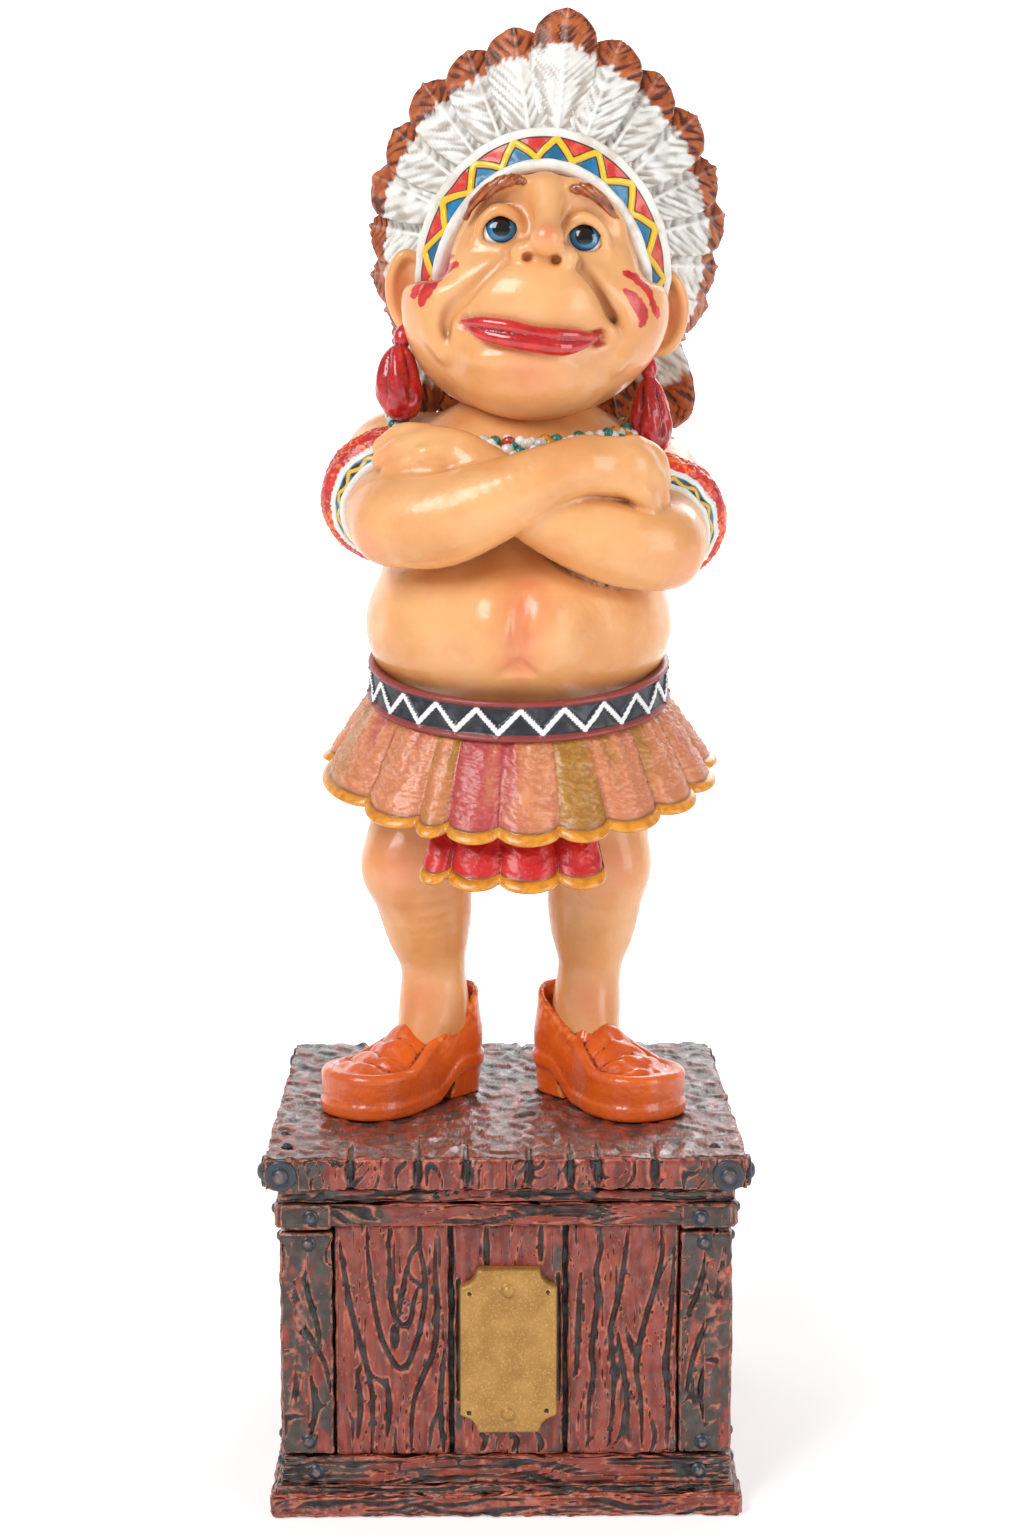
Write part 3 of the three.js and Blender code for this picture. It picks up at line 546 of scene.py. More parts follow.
def head_of(shape, place, turn, up=False):
    """A domed head: radius and height stations spun round, standing on a side or, where up, on the lid."""
    spin = np.linspace(0, 2 * math.pi, HEAD_ROUND, endpoint=False)
    radius, height = (np.array(v)[:, None] for v in zip(*shape))
    across, rise = radius * np.cos(spin), radius * np.sin(spin)
    tall = np.broadcast_to(height, across.shape)
    points = np.stack([across, rise, tall] if up else [across, -tall, rise], -1).reshape(-1, 3) + place
    for _ in range(turn):
        points = np.stack([-points[:, 1], points[:, 0], points[:, 2]], -1)
    crown = np.clip(tall / height.max(), 0, 1).ravel()
    return points, grid_faces(len(shape), HEAD_ROUND, False), {"crown": crown}


iron = Finish("blackened_iron_paint", Roughness=0.35, Metallic=0.25, Coat_Weight=0.3)
shade = iron.mix(iron.noise(0.5, 3).over(0.4, 0.65), (0.03, 0.045, 0.07), (0.05, 0.042, 0.038))
shade = iron.mix((iron.field("crown") * 0.8 + (iron.noise(0.9, 4) - 0.5)).over(0.55, 1.0) * 0.7, shade, (0.34, 0.2, 0.17))
shade = iron.mix(iron.field("crown").over(0.2, 0.08) * iron.noise(1.2, 2).over(0.3, 0.5), shade, (0.012, 0.014, 0.018))
iron.drive(Base_Color=shade, Roughness=0.3 + 0.3 * iron.noise(1, 3), Normal=iron.bump(iron.noise(1.6, 4), 0.15, 0.6))
heads = []
for turn in range(4):
    heads += [head_of(RIVET_SHAPE, place, turn) for place in RIVETS]
    heads += [head_of(BOLT_SHAPE, place, turn) for place in BOLTS]
heads += [head_of([(r * 0.7, h * 0.7) for r, h in RIVET_SHAPE], (x, y, LID_TOP), 0, up=True) for x, y in STUDS]
points, faces, fields = gather(heads)
fit(add_piece("crate_rivets", points, faces, iron, fields), "crate_plinth")

# The legs: bare limbs cast in one with the body. Each is modelled as tapering limbs and balls that melt
# together, then flesh-painted, with ochre washed into the hollows as partly painted shade, painted shade in the
# creases, flushed knees and a glossy varnish.
# The figure's heights are measured from the lid it stands on.
RIGHT_LEG = [(-9.5, 2, 61, 10), (-10.5, 2, 52, 10), (-13.4, 0, 40, 8.8), (-12.6, 1, 29.5, 7.2),
             (-11.7, 1.6, 22, 5.3), (-11.3, 2.4, 12, 5.7)]
LEFT_LEG = [(11.5, 2, 61, 10), (13, 2, 52, 10), (14.8, 0, 39, 8.3), (14.4, 1, 29.5, 7.15),
            (14, 1.6, 22, 5.2), (13.2, 2.4, 12, 5.5)]
KNEES = [((-16.6, -3, 38.6), (6.2, 6, 6.2)), ((17.4, -2.8, 38.8), (5.6, 5.6, 6))]
INSTEPS = [[(-11.6, 1.4, 16, 5), (-13, -0.6, 11, 4.4), (-14, -2, 8, 3.6)],
           [(13.4, 1.4, 16, 4.9), (14.4, -0.8, 11, 4.3), (15.2, -2.4, 8, 3.6)]]


def limb(p, stations, steps=5):
    """Distance from points to a round limb whose stations are x, y, z and radius."""
    line = spline(stations, steps)
    middle = (line[:, :3].min(0) + line[:, :3].max(0)) / 2
    reach = (np.linalg.norm(line[:, :3] - middle, axis=1) + line[:, 3]).max()
    best = np.linalg.norm(p - middle, axis=1) - reach
    close = best < 5
    q = p[close]
    away = np.full(len(q), 1e9)
    for a, b in zip(line, line[1:]):
        along = b[:3] - a[:3]
        t = np.clip((q - a[:3]) @ along / (along @ along), 0, 1)
        gap = np.linalg.norm(q - a[:3] - t[:, None] * along, axis=1)
        away = np.minimum(away, gap - a[3] - t * (b[3] - a[3]))
    best[close] = away
    return best


def ball(p, centre, radii):
    """Rough distance from points to an ellipsoid."""
    q = (p - centre) / radii
    k = np.linalg.norm(q, axis=1)
    return k * (k - 1) / np.maximum(np.linalg.norm(q / radii, axis=1), 1e-6)


def blend(a, b, soft):
    """The nearer of two distances, melted together where they are about equal."""
    share = np.clip(0.5 + 0.5 * (b - a) / soft, 0, 1)
    return b + (a - b) * share - soft * share * (1 - share)


def cut(a, b, soft):
    """The first form with the second one taken out of it."""
    return -blend(-a, b, soft)


def surface_net(field, low, high, cell):
    """Points and quads where a field crosses zero. Only blocks near the surface are worked out."""
    low, block = np.array(low, float), 4
    blocks = np.ceil((np.array(high) - low) / (cell * block)).astype(int)
    corner = np.indices(blocks + 1).reshape(3, -1).T
    rough = field(low + corner * cell * block).reshape(blocks + 1)
    near = np.abs(rough)
    for axis in range(3):
        near = np.minimum(near.take(range(1, near.shape[axis]), axis), near.take(range(near.shape[axis] - 1), axis))
    near = near < 1.4 * cell * block
    value, wanted = rough, near
    for axis in range(3):
        value = np.repeat(value, block, axis)
        wanted = np.repeat(wanted, block, axis)
    value = value[tuple(slice(0, n * block + 1) for n in blocks)].copy()
    asked = np.zeros(value.shape, bool)
    for i, j, k in np.ndindex(2, 2, 2):
        asked[i:i + wanted.shape[0], j:j + wanted.shape[1], k:k + wanted.shape[2]] |= wanted
    value[asked] = field(low + np.argwhere(asked) * cell)
    inside = value < 0
    count = np.zeros(np.array(inside.shape) - 1, int)
    for i, j, k in np.ndindex(2, 2, 2):
        count += inside[i:i + count.shape[0], j:j + count.shape[1], k:k + count.shape[2]]
    mixed = (count > 0) & (count < 8)
    cells = np.argwhere(mixed)
    key = np.full(mixed.shape, -1)
    key[mixed] = np.arange(len(cells))
    total, hits = np.zeros((len(cells), 3)), np.zeros(len(cells))
    for axis in range(3):
        for du, dv in np.ndindex(2, 2):
            start = cells.copy()
            start[:, (axis + 1) % 3] += du
            start[:, (axis + 2) % 3] += dv
            end = start.copy()
            end[:, axis] += 1
            a, b = value[tuple(start.T)], value[tuple(end.T)]
            crossing = (a < 0) != (b < 0)
            spot = start[crossing].astype(float)
            spot[:, axis] += (a / np.where(crossing, a - b, 1))[crossing]
            total[crossing] += spot
            hits += crossing
    faces = []
    for axis in range(3):
        u, v = (axis + 1) % 3, (axis + 2) % 3
        ahead = inside.take(range(1, inside.shape[axis]), axis)
        behind = inside.take(range(inside.shape[axis] - 1), axis)
        spots = np.argwhere(ahead != behind)
        fits = (spots[:, u] > 0) & (spots[:, v] > 0)
        spots = spots[fits & (spots[:, u] < mixed.shape[u]) & (spots[:, v] < mixed.shape[v])]
        ring = []
        for du, dv in ((1, 1), (0, 1), (0, 0), (1, 0)):
            around = spots.copy()
            around[:, u] -= du
            around[:, v] -= dv
            ring.append(key[tuple(around.T)])
        quads = np.stack(ring, 1)
        outward = inside[tuple(spots.T)]
        quads[~outward] = quads[~outward][:, ::-1]
        faces.append(quads)
    return low + cell * total / hits[:, None], np.concatenate(faces)


def slope(field, points, step=0.04):
    """The value of a field at points, and the way in which it grows fastest."""
    here = field(points)
    ways = [field(points + step * np.eye(3)[axis]) - here for axis in range(3)]
    return here, np.stack(ways, -1) / step


def modelled(field, low, high, cell):
    """A modelled form: points on its surface, quads, its outward way, and how hollow it is there."""
    points, faces = surface_net(field, low, high, cell)
    for _ in range(2):
        here, way = slope(field, points)
        move = here[:, None] * way / np.maximum((way * way).sum(1, keepdims=True), 0.1)
        points = points - np.clip(move, -cell, cell)
    way = slope(field, points)[1]
    way /= np.maximum(np.linalg.norm(way, axis=1, keepdims=True), 1e-6)
    fields = {}
    for name, away in (("crease", 0.7), ("hollow", 2.6)):
        fields[name] = np.clip(1 - field(points + way * away) / away, 0, 1)
    return points, faces, way, fields


def ridges(field, points, way, away):
    """How sharply a surface stands out: 1 on a thin edge, 0 where it is flat or hollow."""
    return np.clip(1 + field(points - way * away) / away, 0, 1)


def glow(points, spots):
    """1 at each spot, fading over its radius: x, y, z and radius."""
    total = np.zeros(len(points))
    for x, y, z, radius in spots:
        total = np.maximum(total, np.exp(-(((points - (x, y, z)) / radius) ** 2).sum(1)))
    return total


def on_lid(points):
    return points + np.array([0, 0, LID_TOP])


def legs_field(p):
    whole = limb(p, RIGHT_LEG)
    for stations in (LEFT_LEG, *INSTEPS):
        whole = blend(whole, limb(p, stations), 1.5)
    for centre, radii in KNEES:
        whole = blend(whole, ball(p, centre, radii), 3)
    return whole


FLESH_PALE, FLESH_WARM = (0.8, 0.41, 0.165), (0.7, 0.305, 0.1)
FLESH_WASH_AND_SHADE, FLESH_CREASE_SHADE, FLUSH = (0.56, 0.2, 0.055), (0.22, 0.055, 0.014), (0.72, 0.16, 0.085)


def flesh(name):
    """Flesh paint: pale and warm patches, an ochre wash in hollows that is partly painted shade, painted shade in
    creases, a flush and fine specks.
    """
    paint = Finish(name, Roughness=0.3, Coat_Roughness=0.12, Subsurface_Weight=0.08, Subsurface_Scale=0.002)
    paint.shader.inputs["Subsurface Radius"].default_value = (1.0, 0.4, 0.2)
    patches = paint.noise(0.09, 4)
    colour = paint.mix(patches.over(0.34, 0.68), FLESH_PALE, FLESH_WARM)
    # Ochre in the hollows: partly an airbrushed wash and partly painted shade.
    colour = paint.mix(paint.field("hollow").over(0.2, 0.9) * 0.5, colour, FLESH_WASH_AND_SHADE)
    colour = paint.mix(paint.field("flush") * (0.35 + 0.9 * paint.noise(0.35, 3)), colour, FLUSH)
    # Painted shade in the creases.
    colour = paint.mix(paint.field("crease").over(0.3, 1.0) * 0.7, colour, FLESH_CREASE_SHADE)
    colour = paint.mix(paint.specks(3.1, 0.1) * 0.45, colour, FLESH_WASH_AND_SHADE)
    return paint, colour, patches


skin, skin_colour, skin_patches = flesh("flesh_paint")
skin.drive(
    Base_Color=skin_colour,
    Roughness=0.26 + 0.22 * skin.noise(0.6, 3),
    Coat_Weight=0.55 * skin.noise(0.25, 2).over(0.3, 0.6),
    Normal=skin.bump(skin.noise(0.9, 5), 0.16, 0.5),
)
points, faces, way, fields = modelled(legs_field, (-25, -12, 4), (26, 15, 72), 0.8)
fields["flush"] = 0.55 * glow(points, [(-17, -8, 39, 6), (18, -8, 39, 5.5), (-14, -4, 17, 4), (14, -4, 17, 4)])
fit(add_piece("legs", on_lid(points), faces, skin, fields), "figure")

# The front plate: a plain brass-coloured plate with scooped corners, softly bevelled and fixed by two
# rivets. It is a separate piece, painted dull gold with fine speckle, pinholes and rubbed edges.
PLATE_MIDDLE, PLATE_HALF, PLATE_SCOOP = (0.3, 26.3), (7.4, 12.9), 2.6
PLATE_BACK, PLATE_FRONT = -33.92, -35.82
PLATE_RIVET, PLATE_HOLES = 9.7, [(-5.9, 9.2), (6, 9.4), (-6, -9.6), (5.8, -9.3)]


def plate_field(p):
    x, z = np.abs(p[:, 0] - PLATE_MIDDLE[0]), np.abs(p[:, 2] - PLATE_MIDDLE[1])
    outline = np.maximum(x - PLATE_HALF[0], z - PLATE_HALF[1])
    scoop = np.hypot(x - PLATE_HALF[0], z - PLATE_HALF[1]) - PLATE_SCOOP
    outline = cut(outline, scoop, 0.5)
    whole = -blend(-outline, -(PLATE_FRONT - p[:, 1]), 0.75)
    whole = np.maximum(whole, p[:, 1] - PLATE_BACK - 0.8)
    for side in (-1, 1):
        head = (PLATE_MIDDLE[0], PLATE_FRONT, PLATE_MIDDLE[1] + side * PLATE_RIVET)
        whole = blend(whole, ball(p, head, (1.05, 0.75, 1.05)), 0.15)
    for x, z in PLATE_HOLES:
        hole = (PLATE_MIDDLE[0] + x, PLATE_FRONT, PLATE_MIDDLE[1] + z)
        whole = cut(whole, ball(p, hole, (0.32, 0.5, 0.32)), 0.1)
    return whole


gold = Finish("dull_gold_paint", Roughness=0.4, Metallic=0.35, Coat_Weight=0.2)
colour = gold.mix(gold.noise(0.25, 4).over(0.3, 0.7), (0.46, 0.24, 0.055), (0.34, 0.165, 0.032))
colour = gold.mix(gold.noise(3.2, 3).over(0.5, 0.72) * 0.55, colour, (0.66, 0.4, 0.13))
colour = gold.mix(gold.field("worn").over(0.3, 0.85) * gold.noise(0.9, 3).over(0.3, 0.55) * 0.8, colour, (0.85, 0.6, 0.28))
# Painted shade in the creases round the rivets and in the small holes.
colour = gold.mix(gold.field("crease").over(0.25, 0.8), colour, (0.05, 0.02, 0.005))
colour = gold.mix(gold.specks(2.3, 0.12) * 0.7, colour, (0.08, 0.03, 0.008))
gold.drive(Base_Color=colour, Roughness=0.34 + 0.2 * gold.noise(1.5, 3), Normal=gold.bump(gold.noise(3, 4), 0.12, 0.7))
points, faces, way, fields = modelled(plate_field, (-8, -37.2, 12.5), (8.6, -32.6, 40), 0.38)
fields["worn"] = ridges(plate_field, points, way, 0.7)
fit(add_piece("front_plate_brass", points, faces, gold, fields), "front_plate")

# The shoes: cast and painted as glossy orange loafers with a sole slab that climbs to a separate heel
# block, a welt groove, a rolled rim round a wrinkled vamp, and a strap across the instep. Each is worked
# out in its own frame: t runs from heel to toe, s across, and z up.
SHOES = {"right": ((-9.3, 4), (-21.2, -8.4)), "left": ((10.6, 3.6), (20.6, -9.6))}
HEEL_RADIUS, TOE_RADIUS = 5.7, 8.0
HEEL_HEIGHT, SOLE = 4.4, 2.6
STRAP = (6.0, 8.4)
FOLD_PITCH = 3.3


def shoe_frame(points, heel, toe):
    heel, toe = np.array(heel), np.array(toe)
    length = np.linalg.norm(toe - heel)
    ahead = (toe - heel) / length
    t = (points[:, :2] - heel) @ ahead
    s = (points[:, :2] - heel) @ np.array([-ahead[1], ahead[0]])
    past = t - np.clip(t, 0, length)
    radius = HEEL_RADIUS + (TOE_RADIUS - HEEL_RADIUS) * eased(t / length) - 0.7 * np.sin(math.pi * eased(t / length))
    round_toe = (np.abs(past) ** 2.3 + np.abs(s) ** 2.3) ** (1 / 2.3) - radius
    return t, s, round_toe


def top_line(t):
    return 6.7 + 11.2 * np.clip((15 - t) / 20, 0, 1.05) ** 1.2


def shoe_field(heel, toe, seed):
    def field(p):
        t, s, foot = shoe_frame(p, heel, toe)
        z = p[:, 2]
        rise = HEEL_HEIGHT * eased((8.6 - t) / 7.6)
        up = z - rise
        top = top_line(t)
        slab = -blend(-foot, -(np.abs(up - SOLE / 2) - SOLE / 2), 0.7)
        inset = 0.45 - 0.25 * np.exp(-((up - 5) / 2.5) ** 2) + 0.05 * np.clip(up - 6, 0, 9) ** 1.3
        wall = -blend(-blend(foot + inset, foot + inset, 0.01), -(z - top), 1.0)
        wall = -blend(-wall, up - 1.5, 0.4)
        rim = np.hypot(foot + inset + 0.85, z - top + 0.35) - 0.95
        wall = blend(wall, rim, 0.3)
        inner = np.clip(-(foot + 1.7) / 5.2, 0, 1)
        crown = 1.3 + 4.1 * np.clip((22 - t) / 15.5, 0, 1)
        ridge = t + 0.035 * s * s + 0.5 * waves(s, t, 6, seed)
        fold = np.abs(np.sin(math.pi * (ridge - STRAP[1] - 0.6) / FOLD_PITCH)) ** 0.55
        fold = np.where(ridge > STRAP[1] + 0.6, fold, 1)
        ends = eased((22.5 - t) / 3)
        vamp_top = top - 0.75 + crown * (1 - (1 - inner) ** 2) + (0.75 * fold - 0.55) * ends * eased(inner * 4)
        vamp_top = vamp_top + 0.22 * waves(s, t, 3.2, seed + 1) * eased(inner * 3)
        on_strap = eased((t - STRAP[0] + 0.2) * 2) * eased((STRAP[1] - t) * 2.5)
        vamp_top = vamp_top + 0.75 * on_strap - 0.35 * np.exp(-((t - STRAP[1] - 0.25) / 0.3) ** 2)
        vamp = -blend(-(z - vamp_top), -(foot + 1.45), 0.5)
        vamp = -blend(-vamp, -(STRAP[0] - t), 0.9)
        mouth = np.maximum(np.maximum(t - STRAP[0] - 0.8, foot + 1.75), top - 5 - z)
        whole = blend(cut(wall, mouth, 0.5), vamp, 0.2)
        whole = blend(whole, slab, 0.15)
        taper = 0.5 + 0.07 * (HEEL_HEIGHT - z)
        block = np.maximum(foot + taper, t - 3.3 - 0.06 * (HEEL_HEIGHT - z) ** 2)
        block = -blend(-block, -(z - rise - 1), 0.3)
        return np.maximum(blend(whole, block, 0.3), -z)
    return field


ORANGE, ORANGE_HOLLOW_SHADE, ORANGE_PALE = (0.76, 0.13, 0.012), (0.4, 0.04, 0.004), (0.9, 0.26, 0.05)
leather = Finish("orange_loafer_paint", Roughness=0.25, Coat_Roughness=0.08)
colour = leather.mix(leather.noise(0.16, 4).over(0.3, 0.7), ORANGE, (0.62, 0.085, 0.007))
# Painted shade in the hollows.
colour = leather.mix(leather.field("hollow").over(0.15, 0.8) * 0.6, colour, ORANGE_HOLLOW_SHADE)
colour = leather.mix(leather.field("worn").over(0.25, 0.9) * leather.noise(0.8, 4).over(0.4, 0.62), colour, ORANGE_PALE)
# Painted shade in the creases.
colour = leather.mix(leather.field("crease").over(0.2, 0.75), colour, (0.12, 0.012, 0.002))
colour = leather.mix(leather.specks(1.7, 0.09) * 0.7, colour, (0.1, 0.01, 0.002))
leather.drive(
    Base_Color=colour,
    Roughness=0.2 + 0.25 * leather.noise(0.9, 3),
    Coat_Weight=0.7 * leather.noise(0.4, 2).over(0.3, 0.6),
    Normal=leather.bump(leather.noise(1.3, 5), 0.22, 0.6),
)


for side, (heel, toe) in SHOES.items():
    field = shoe_field(heel, toe, len(side))
    low = (min(heel[0], toe[0]) - 9, min(heel[1], toe[1]) - 9, -0.4)
    high = (max(heel[0], toe[0]) + 9, max(heel[1], toe[1]) + 9, 20.4)
    points, faces, way, fields = modelled(field, low, high, 0.46)
    fields["worn"] = ridges(field, points, way, 0.9)
    fit(add_piece("shoe_" + side, on_lid(points), faces, leather, fields), "figure")

# The body: a round belly and chest, soft shoulders, and folded arms, the right one on top. The hands grip
# the upper arms. It is cast in one with the legs and painted like them, flushed at the navel and elbows.
BELLY = ((2.3, 0.5, 77.5), (24.4, 21.5, 17.5))
CHEST = ((3, 2.5, 95), (21, 14, 17))
YOKE = ((2.8, 1, 102.4), (21.5, 17, 9))
NECK = ((3.6, 2, 103), (12.6, 12, 13))
RIGHT_UPPER = [(-16.5, 6, 101.6, 9.4), (-17.2, -3, 98, 8.1), (-17, -7.5, 96, 7.3), (-17.2, -11, 95, 7)]
RIGHT_FOREARM = [(-17.2, -11.5, 95, 7), (-15.6, -16, 94.4, 7.2), (-9.5, -19.6, 94.6, 7.1),
                 (-1.5, -22, 97.6, 6.1), (6, -22.6, 101, 4.9), (11.5, -22, 103, 4.4)]
LEFT_UPPER = [(22.6, 6, 98.6, 9.3), (24.2, -2.6, 95, 7.8), (24.3, -7, 92.6, 7), (24.4, -10.4, 91.4, 6.7)]
LEFT_FOREARM = [(24.4, -10.5, 91.2, 6.7), (23, -14.6, 90.6, 6.9), (16.5, -17.4, 91.4, 6.6),
                (8, -19, 94.6, 5.7), (0, -17.8, 99.4, 4.8), (-6, -15.6, 103.2, 4.2)]
RIGHT_PALM = ((16.6, -20.2, 102.6), (6.6, 4.2, 4.6))
LEFT_PALM = ((-10.6, -14.8, 105.2), (5.4, 3.8, 3.6))
RIGHT_FINGERS = [
    [(19.5, -19.4, 105.2, 2.3), (22.4, -17.6, 103.6, 2.2), (23.6, -15.6, 100.4, 1.9)],
    [(19.6, -20.6, 102.6, 2.3), (22.2, -19.2, 101, 2.2), (23.4, -17.2, 98, 1.8)],
    [(18.4, -21.2, 100.4, 2.2), (20.8, -20.4, 98.6, 2.1), (22, -18.6, 96.2, 1.7)],
]
LEFT_FINGERS = [
    [(-12.4, -13.6, 107.2, 2), (-15.6, -12.4, 107.2, 2), (-18.6, -11.4, 105.4, 1.8)],
    [(-12.6, -15.6, 105.6, 2), (-15.8, -14.6, 105.2, 2), (-18.8, -13, 103.4, 1.7)],
    [(-12, -17, 103.8, 1.9), (-14.6, -16.4, 103, 1.9), (-17.2, -15, 101.6, 1.6)],
    [(-11, -17.8, 102.2, 1.7), (-13.2, -17.4, 101.2, 1.6), (-15.2, -16.6, 100.4, 1.4)],
]


def trunk_field(p):
    whole = blend(ball(p, *BELLY), ball(p, *CHEST), 7)
    whole = blend(whole, ball(p, *YOKE), 6)
    whole = blend(whole, ball(p, *NECK), 4)
    whole = blend(whole, limb(p, RIGHT_UPPER), 4)
    return blend(whole, limb(p, LEFT_UPPER), 4)


def body_field(p):
    whole = trunk_field(p)
    for side, x in ((-1, -1.6), (1, 6.4)):
        whole = blend(whole, ball(p, (x, -17.6, 77.5), (4.6, 5, 6.5)), 5)
    crease = limb(p, [(3.2, -22.6, 84, 0.2), (2.2, -22.8, 80, 0.45), (1.7, -22.6, 75, 0.6), (1.9, -21.8, 72.4, 0.5)])
    whole = cut(whole, crease, 2.4)
    for end in (-2.2, 6):
        whole = cut(whole, limb(p, [(1.9, -21.5, 72.6, 0.6), (end, -21.2, 69.6, 0.25)]), 1.0)
    whole = blend(whole, blend(limb(p, LEFT_UPPER), limb(p, LEFT_FOREARM), 1.5), 0.9)
    hand = ball(p, *LEFT_PALM)
    for finger in LEFT_FINGERS:
        hand = blend(hand, limb(p, finger, 4), 0.8)
    whole = blend(whole, blend(limb(p, LEFT_FOREARM), hand, 2.5), 0.5)
    whole = blend(whole, limb(p, [(-12.4, -18.6, 104.6, 1.2), (-9.8, -18.4, 105.2, 1.1)]), 1.2)
    right = blend(limb(p, RIGHT_UPPER), limb(p, RIGHT_FOREARM), 1.5)
    hand = ball(p, *RIGHT_PALM)
    for finger in RIGHT_FINGERS:
        hand = blend(hand, limb(p, finger, 4), 0.7)
    right = blend(right, hand, 2.5)
    whole = blend(whole, right, 0.7)
    for centre, radii in (((-18.6, -15.5, 92.4), (3.6, 3.6, 3.6)), ((25.6, -14, 88.4), (3.4, 3.4, 3.4))):
        whole = blend(whole, ball(p, centre, radii), 3)
    return whole


points, faces, way, fields = modelled(body_field, (-30, -30, 58), (36, 24, 118), 0.68)
fields["flush"] = np.maximum(
    0.8 * glow(points, [(2, -22, 73, 3.2), (2.4, -22, 77, 3.6), (3, -22, 81, 3.6), (3.6, -22, 85, 3.2)]),
    0.6 * glow(points, [(-20, -18, 91.5, 4), (27, -16, 88, 4), (24, -17, 99, 2.6), (-17, -14, 104, 2.6)]),
)
fit(add_piece("body", on_lid(points), faces, skin, fields), "figure")

# The belt: a black strap round the waist, cast with the body, lower in front. It has a raised white zigzag
# between two dull red pipings, and it covers the seam between the belly and the skirt.
BELT_AT, BELT_RADII, BELT_HALF, BELT_TILT = (2.3, 0.5, 68.9), (23.5, 21.6), 3.1, 12.8
TEETH, ZIG_HALF, ZIG_WIDTH = 22, 1.75, 0.42
BELT_ROUND, BELT_FACE, BELT_INSIDE = 440, 28, 6  # points round it, across its face and across its inside


def zigzag(along, half):
    """Where a zigzag runs across a strip, with one tooth for each whole number along it."""
    return half * (4 * np.abs(along - np.floor(along) - 0.5) - 1)


turn = np.linspace(0, 2 * math.pi, BELT_ROUND, endpoint=False)[:, None]
across = np.linspace(-BELT_HALF, BELT_HALF, BELT_FACE)
across = np.append(across, np.linspace(BELT_HALF - 0.5, -BELT_HALF + 0.5, BELT_INSIDE))[None]
outer = (np.arange(across.size) < BELT_FACE)[None]
line = np.abs(across - zigzag(turn / (2 * math.pi) * TEETH, ZIG_HALF)) * 0.67
piping = np.sqrt(np.clip(1 - ((np.abs(across) - 2.65) / 0.5) ** 2, 0, 1))
proud = np.where(outer, 0.15 + 0.55 * piping + 0.42 * np.clip((ZIG_WIDTH + 0.12 - line) / 0.16, 0, 1), -1.4)
proud = np.where(outer & (piping == 0), proud + 0.05 * waves(turn * 22, across, 2.5, 71), proud)
x = BELT_AT[0] + np.sin(turn) * (BELT_RADII[0] + proud - 0.035 * across)
y = BELT_AT[1] - np.cos(turn) * (BELT_RADII[1] + proud - 0.035 * across)
z = BELT_AT[2] + across + (y - BELT_AT[1]) * math.tan(math.radians(BELT_TILT))
points = np.stack([x, y, z], -1).reshape(-1, 3)
fields = {
    "white": (np.clip((ZIG_WIDTH + 0.02 - line) / 0.12, 0, 1) * outer * (piping == 0)).ravel(),
    "piping": np.broadcast_to(np.clip((np.abs(across) - 2.05) / 0.15, 0, 1), line.shape).ravel(),
}
strap = Finish("belt_paint", Roughness=0.35, Coat_Weight=0.25)
colour = strap.mix(strap.noise(0.5, 4).over(0.45, 0.75), (0.008, 0.009, 0.014), (0.04, 0.045, 0.06))
colour = strap.mix(strap.field("white").over(0.3, 0.7), colour, (0.78, 0.79, 0.79))
red_piping = strap.mix(strap.noise(0.8, 3), (0.3, 0.045, 0.04), (0.2, 0.025, 0.022))
colour = strap.mix(strap.field("piping").over(0.3, 0.7), colour, red_piping)
strap.drive(Base_Color=colour, Roughness=0.3 + 0.3 * strap.noise(1, 3), Normal=strap.bump(strap.noise(2, 4), 0.1, 0.5))
faces = grid_faces(BELT_ROUND, across.size, True)
fit(add_piece("belt", on_lid(points), faces, strap, fields), "figure")

# The skirt: a flared, pleated kilt in two layers, cast in one with the body. The cloth is carved with
# curling threads and painted salmon, ochre and magenta. The short layer under it in front is red, and
# both end in a fat yellow rolled hem. It starts under the belt.
HEM_RADII, SIDE_HEM, FRONT_DROP, BACK_DROP = (31.4, 28.5), 55.4, 0.3, 0.08
PLEAT_DEPTH, HEM_ROLL = 2.4, 0.85
PLEATS = [-90, -53, -32, -22.5, -6.6, 11.6, 27, 46, 65, 84] + [84 + 18.6 * k for k in range(1, 10)] + [270]
TINTS = [0.25, 0.15, 0.75, -0.75, -0.3, 0.9, 0.1, 0.45, -0.1, 0.3, -0.6, 0.5, 0.1, 0.8, -0.5, 0.2, 0.6, -0.3, 0.4]
FLAP_TURNS, FLAP_LOW = (-32, 27), 39.6
SKIRT_ROUND, FLAP_ROUND = 420, 100
CLOTH_FACE, CLOTH_HEM, CLOTH_INSIDE = 56, 14, 8  # points down the outside, round the hem and up the inside


def pleat_of(turn):
    """Which pleat a turn falls in, and how far across it."""
    degrees = np.degrees(turn)
    edges = np.array(PLEATS, float)
    k = np.clip(np.searchsorted(edges, degrees, "right") - 1, 0, len(edges) - 2)
    return k, (degrees - edges[k]) / (edges[k + 1] - edges[k])


def threads(a, b, seed):
    """Curling raised threads: 1 on a thread, 0 between."""
    swirl = waves(a + 1.2 * waves(a, b, 5, seed + 1), b + 1.2 * waves(a, b, 5, seed + 2), 1.7, seed, 9)
    return np.exp(-(swirl / 0.33) ** 2)


